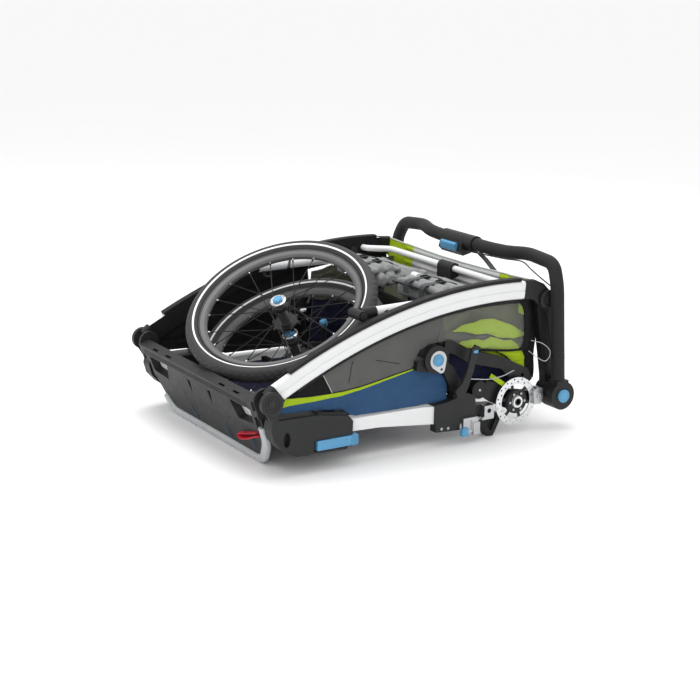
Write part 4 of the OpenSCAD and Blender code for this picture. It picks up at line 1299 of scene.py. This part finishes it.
@dataclass
class Hoop:
    """The hinged white hoop and the bent cross tube behind it."""

    def build(self) -> None:
        """Builds both tubes, and the rivets and tab on the hoop."""
        hx, hy, slope = DRUM_X - 206, HALF_W - 52, 15 / 339
        ends = [(DRUM_X - 545, 371 - 339 * slope), (hx + 20, 371 + 20 * slope)]
        path = bent([(ends[0][0], -hy, ends[0][1]), (110, -hy, 360), (hx + 28, -hy, 343),
                     (hx + 28, hy, 343), (110, hy, 360), (ends[0][0], hy, ends[0][1])], 30, 20)
        tube = sweep("hoop_white_tube", path * MM, disc(0.013, 36), "white_paint", "hoop", (0, 0, 1))
        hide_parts("hoop_tube")
        cross = bent([(DRUM_X - 168, -319.6, 375), (DRUM_X - 168, -304, 375), (DRUM_X - 112, -258, 375),
                      (DRUM_X - 112, 258, 375), (DRUM_X - 168, 304, 375), (DRUM_X - 168, 319.6, 375)],
                      14, 14)
        bar = sweep("cross_white_tube", cross * MM, disc(0.0085, 32), "white_paint", "top_frame",
                    (0, 0, 1))
        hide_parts("cross_tube")
        for side, tag in SIDES:
            z = 371 + (-95 - hx) * slope
            bolt(f"hoop_rivet_{tag}", (-88, side * (hy + 12.6), z), (0, side, 0), 5.2, 2.2, "hoop")
            bolt(f"hoop_end_bolt_{tag}", (DRUM_X - 574, side * (hy + 27.6), 354.7), (0, side, 0), 6.5,
                 1.6, "hoop", "black_moulding")
            clip = bent([(-92, side * (hy - 3), z - 12), (-92, side * (hy - 3), z - 26),
                         (-70, side * (hy - 3), z - 28)], 5, 5)
            sweep(f"hoop_tab_{tag}", clip * MM, rounded(3, 16, 1.2, 3) * MM, "grey_webbing", "hoop")


@dataclass
class Handlebar:
    """The foam covered swing handlebar with its brake grip, strap and cable."""

    def path(self) -> np.ndarray:
        """The bar's centre line from drum to drum, in mm."""
        near = [(DRUM_X - 2, -GRIP_Y, DRUM_Z + 22), (DRUM_X - 21, -GRIP_Y, 380),
                (DRUM_X - 14, -GRIP_Y + 26, 432), (DRUM_X - 16, -236, 441), (DRUM_X - 36, -176, 436),
                (DRUM_X - 41, -110, 434), (DRUM_X - 41, 0, 434)]
        half = bent(near, 24, 14)
        return np.vstack([half, half[-2::-1] * np.array([1, -1, 1])])

    def build(self) -> None:
        """Builds the bar, its seam rings, the cables, strap and small screws."""
        path = self.path()
        bar = sweep("foam_grip", path * MM, disc(0.0175, 40), "grip_foam", "handlebar", (1, 0, 0))
        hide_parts("handlebar")
        u = unit(path[1] - path[0])
        for side, tag in SIDES:
            for k, at in enumerate((78, 84, 96)):
                c = (path[0] + u * at) * np.array([1, -side, 1])
                ring = [c + u * np.array([1, -side, 1]) * d for d in (-1.2, -0.6, 0.6, 1.2)]
                sweep(f"grip_seam_{tag}_{k}", np.array(ring) * MM, disc(0.0178, 36), "black_moulding",
                      "handlebar", (1, 0, 0))
        cable = curve_through([(DRUM_X - 55, -10.3, 415), (DRUM_X - 55, -50, 415),
                               (DRUM_X - 53, -110, 417.5), (DRUM_X - 48, -176, 419.6),
                               (DRUM_X - 35, -232, 421), (DRUM_X - 36, -272, 408),
                               (DRUM_X - 38, -308, 396), (DRUM_X - 38.4, -GRIP_Y + 9, 382)], 10)
        wire = sweep("brake_cable_skin", cable * MM, disc(0.0019, 12), "cable_skin", "handlebar",
                     (1, 0, 0))
        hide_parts("brake_cable")
        strap = curve_through([(DRUM_X - 38, -56, 413.6), (DRUM_X - 42, -68, 410),
                               (DRUM_X - 44, -90, 402), (DRUM_X - 46, -118, 388),
                               (DRUM_X - 50, -150, 372), (DRUM_X - 52, -168, 358)], 8)
        band = sweep("wrist_strap_webbing", strap * MM, rounded(2.2, 17, 1, 2) * MM, "grey_webbing",
                     "handlebar", (1, 0, 0))
        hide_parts("wrist_strap")
        bolt("brake_screw_a", (DRUM_X - 64, -4, 420), (-1, 0, 0), 3.4, 1.6, "handlebar")


@dataclass
class FrontEnd:
    """The front panel's loop and cords, and small fixings round it."""

    origin: tuple[float, float, float] = (-386.0, 0.0, 8.0)
    up: tuple[float, float, float] = (-0.3223, 0.0, 0.9466)
    out: tuple[float, float, float] = (-0.9466, 0.0, -0.3223)

    def at(self, y: float, v: float, lift: float) -> np.ndarray:
        """A point on the panel: across, up and out from it, in mm."""
        foot = np.array(self.origin) + np.array([0, y, 0])
        return foot + v * np.array(self.up) + lift * np.array(self.out)

    def build(self) -> None:
        """Builds the red pull loop, the blue cords and the panel's fixings."""
        line = [(-278, 88, 3), (-266, 86, 6), (-238, 74, 8.5), (-206, 62, 9), (-178, 54, 7.5),
                (-164, 53, 5), (-160, 59, 3.6), (-170, 64, 3.4), (-200, 72, 3.2), (-236, 84, 3.0),
                (-270, 95, 2.4)]
        path = curve_through([self.at(*q) for q in line], 8)
        loop = sweep("pull_loop_webbing", path * MM, rounded(2.0, 19, 0.9, 2) * MM, "red_webbing",
                     "base", self.out)
        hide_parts("pull_loop")
        cords = ((-78, 58, -94, 22), (108, 58, 92, 22), (-214, 56, -222, 38))
        for k, (y0, v0, y1, v1) in enumerate(cords):
            pts = [self.at(y0 + (y1 - y0) * t, v0 + (v1 - v0) * t, 1.2 + 3.0 * math.sin(math.pi * t))
                   for t in np.linspace(0, 1, 14)]
            cord = sweep(f"panel_cord_{k}", np.array(pts) * MM, disc(0.001, 10), "cord_blue", "base")
            if k == 0:
                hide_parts("panel_cords")
        edge = [(-289, 112), (-286, 66), (-236, 4), (236, 4), (266, 42)]
        bumper = bent([self.at(y, v, -2.0) for y, v in edge], 26, 12)
        strip = sweep("bumper_rubber_strip", bumper * MM, rounded(23, 17, 6.5) * MM, "bumper_rubber",
                      "base", self.out)
        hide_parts("bumper_strip")
        for k, y in enumerate((-292, -120, 120, 292)):
            bolt(f"panel_bolt_{k}", self.at(y, 92, -0.2), self.out, 4.4, 2.0, "base", "black_moulding")


@dataclass
class RunningGear:
    """The brake rotors' bolts, hub fixings and the small cables by the fold hub."""

    def build(self) -> None:
        """Adds the bolts, cables, straps and blue marks."""
        for side, tag in SIDES:
            for k in range(6):
                t = math.radians(60 * k)
                at: Point = (AXLE_X + 23 * math.cos(t), side * (HALF_W - 2 + 7.2),
                             AXLE_Z + 23 * math.sin(t))
                bolt(f"rotor_bolt_{tag}_{k}", at, (0, side, 0), 3.3, 1.6, f"rotor_{tag}")
            bolt(f"axle_end_bolt_{tag}", (DRUM_X - 236, side * (HALF_W - 6.4), 130), (0, side, 0), 3.2,
                 1.6, "base")
            loop = curve_through([(345, side * 326, 236), (362, side * 350, 232), (382, side * 356, 214),
                                  (384, side * 356, 196), (372, side * 352, 184), (352, side * 340, 196),
                                  (342, side * 322, 208)], 8)
            sweep(f"thin_cable_{tag}", loop * MM, disc(0.0011, 10), "steel_cable", "base", (0.1, 1, 0.2))
            run = curve_through([(132, side * 344, 168), (160, side * 346, 164), (200, side * 345, 158),
                                 (245, side * 343, 160), (284, side * 338, 168)], 8)
            sweep(f"shift_cable_{tag}", run * MM, disc(0.0014, 10), "steel_cable", "base", (0, 0, 1))
            strap = curve_through([(214, side * 332, 162), (232, side * 335, 150),
                                   (252, side * 336, 136), (270, side * 334, 122)], 6)
            sweep(f"tie_strap_{tag}", strap * MM, rounded(1.6, 12, 0.7, 2) * MM, "lime_cloth", "base",
                  (1, 0, 0.2))
            clip = np.array([(125, side * 349.5, 22), (125, side * 349.5, 42)])
            sweep(f"clip_blue_{tag}", clip * MM, rounded(15, 19, 3) * MM, "blue_plastic", "base",
                  (1, 0, 0))
            mark = np.array([[(HUB_X + 103.5 + 13 * j / 5 - 1.2 * i / 5, side * 360.1,
                               236.5 + 7.2 * i / 5)
                              for j in range(6)] for i in range(6)])
            mark = mark if side < 0 else mark[:, ::-1]
            shell(f"lever_mark_{tag}", mark * MM, 0.001, "blue_plastic", f"side_lever_{tag}")


@dataclass
class CabinDetails:
    """Small fittings glimpsed in the cabin through the wheels' spokes."""

    def build(self) -> None:
        """Builds the blue knob on its post, and a pale buckle on its strap."""
        stem = curve_through([(-46, 44, 104), (-50, 46, 150), (-52, 44, 200), (-50, 40, 243)], 8)
        sweep("knob_post", stem * MM, rounded(16, 9, 3) * MM, "black_moulding", "base", (1, 0, 0))
        place = Matrix.Translation((-0.0495, 0.040, 0.243)) @ Matrix.Rotation(math.radians(-24), 4, "Y")
        knob = [(0.0003, 0.0), (0.009, 0.0), (0.0105, 0.003), (0.0105, 0.012), (0.0085, 0.0155),
                (0.0003, 0.0165)]
        revolve("blue_knob", np.array(knob), 40, place, "blue_plastic", "base")
        tip = Matrix.Translation((-0.102, 0.060, 0.286)) @ Matrix.Rotation(math.radians(70), 4, "X")
        cone = [(0.0003, -0.012), (0.004, -0.012), (0.0055, -0.004), (0.0055, 0.004), (0.002, 0.012),
                (0.0003, 0.012)]
        revolve("pale_buckle", np.array(cone), 24, tip, "white_tag", "base")
        rod = curve_through([(-102, 66, 282), (-96, 72, 262), (-84, 84, 200), (-80, 92, 110)], 8)
        sweep("buckle_strap", rod * MM, rounded(2, 16, 0.9, 2) * MM, "piping", "base", (1, 0, 0.1))


@dataclass
class Studio:
    """The camera, lights and floor."""

    centre: tuple[float, float, float] = (-2.10718, -3.29533, 1.22416)
    forward: tuple[float, float, float] = (0.52134, 0.81337, -0.25815)
    azimuth: float = 32.66
    roll: float = 0.96
    lens: float = 79.43

    def camera(self) -> None:
        """Places the camera."""
        f = np.array(self.forward)
        a, r = math.radians(self.azimuth), math.radians(self.roll)
        right0 = np.array([math.cos(a), -math.sin(a), 0.0])
        up0 = np.cross(right0, f)
        right, up = math.cos(r) * right0 + math.sin(r) * up0, math.cos(r) * up0 - math.sin(r) * right0
        data = bpy.data.cameras.new("camera")
        data.lens, data.sensor_width = self.lens, 36.0
        cam = bpy.data.objects.new("camera", data)
        cam.matrix_world = Matrix((
            (right[0], up[0], -f[0], self.centre[0]), (right[1], up[1], -f[1], self.centre[1]),
            (right[2], up[2], -f[2], self.centre[2]), (0, 0, 0, 1)))
        bpy.context.scene.collection.objects.link(cam)
        bpy.context.scene.camera = cam

    def light(self, name: str, at: Point, size: float, watts: float) -> None:
        """One soft round light, aimed at the trailer."""
        data = bpy.data.lights.new(name, "AREA")
        data.shape, data.size, data.energy = "DISK", size, watts
        lamp = bpy.data.objects.new(name, data)
        lamp.location = at
        lamp.rotation_euler = (Vector((0, 0, 0.15)) - Vector(at)).to_track_quat("-Z", "Y").to_euler()
        bpy.context.scene.collection.objects.link(lamp)

    def build(self) -> None:
        """Builds the studio."""
        self.camera()
        g = Graph("studio_floor")
        g.set(Base_Color=g.blend(g.cloud(3.0), (0.93, 0.93, 0.93), (0.95, 0.95, 0.95)), Roughness=0.9)
        data = bpy.data.meshes.new("floor")
        data.from_pydata([(-30, -30, 0), (30, -30, 0), (30, 30, 0), (-30, 30, 0)], [], [(0, 1, 2, 3)])
        data.materials.append(g.material)
        floor = bpy.data.objects.new("floor", data)
        floor.location.z = -0.0005
        bpy.context.scene.collection.objects.link(floor)
        world = bpy.data.worlds.new("studio_world")
        world.use_nodes = True
        world.node_tree.nodes["Background"].inputs["Color"].default_value = (1, 1, 1, 1)
        world.node_tree.nodes["Background"].inputs["Strength"].default_value = 1.0
        bpy.context.scene.world = world
        bpy.context.scene.view_settings.view_transform = "Standard"
        self.light("overhead", (-0.3, 0.3, 3.0), 2.2, 46)
        self.light("front_fill", (-2.6, -2.4, 1.9), 1.8, 10)
        self.light("rear_rim", (2.4, 1.6, 2.2), 1.6, 14)


PLAIN_NODES = {
    "front_panel": "charcoal_moulding", "reflectors": "reflector",
    "front_knuckles": "charcoal_moulding", "receivers": "charcoal_moulding",
    "lower_tubes": "white_paint", "rear_brackets": "charcoal_moulding",
    "bracket_hardware": "silver_metal", "feet": "black_moulding", "axle_tube": "black_powder",
    "axle_arms": "black_powder", "calipers": "silver_metal", "fold_hubs": "black_moulding",
    "hub_plates": "silver_metal", "suspension_bars": "black_powder", "seat_frame": "black_powder",
    "rear_sockets": "black_moulding", "cross_clamp": "black_moulding", "hoop_fittings": "black_moulding",
    "hoop_pivots": "black_powder", "uprights": "black_powder", "bar_drums": "black_moulding",
    "brake_housing": "black_moulding", "brake_grip": "blue_plastic",
    "side_lever_near": "charcoal_moulding", "side_lever_far": "charcoal_moulding",
    "drum_button_near": "blue_plastic", "drum_button_far": "blue_plastic",
    "hub_button_near": "blue_plastic", "hub_button_far": "blue_plastic", "latch_near": "blue_plastic",
    "latch_far": "blue_plastic", "wheel_axles": "silver_metal",
}


def dress_rotors() -> None:
    """Gives each brake rotor a bright face with a dark carrier in its middle."""
    for side, tag in SIDES:
        FINISHES.add(TurnedFinish(
            f"rotor_{tag}_finish", (0.66, 0.67, 0.68), 0.24, 1.0, Grain.LAPPED, 0.001, 0.06, 0.04,
            centre=(AXLE_X * MM, side * 0.34, AXLE_Z * MM), axis=(0, 1, 0),
            rings=((0.0158, 0.0452, (0.022, 0.022, 0.024), 0.3, 0.4),),
        ))
        dress({f"rotor_{tag}": f"rotor_{tag}_finish"})


def main() -> None:
    """Builds the whole scene."""
    Studio().build()
    dress(PLAIN_NODES)
    dress_rotors()
    tubes = SideTubes()
    parts: list[Any] = [tubes, Wheel("a", (-214, -17, 317.5), 31.5, -151),
                        Wheel("b", (-180, -20, 226), 28, -158)]
    for side, tag in SIDES:
        parts += [SideCloth(side, tag, tubes), CrumpledCover(side, tag)]
    parts += [Windows(tubes), RearPanel(), Seats(), Hoop(), Handlebar(), FrontEnd(), RunningGear(),
              CabinDetails()]
    for part in parts:
        part.build()
        log.info("finished %s", type(part).__name__)


if __name__ == "__main__":
    logging.basicConfig(level=logging.INFO)
    main()
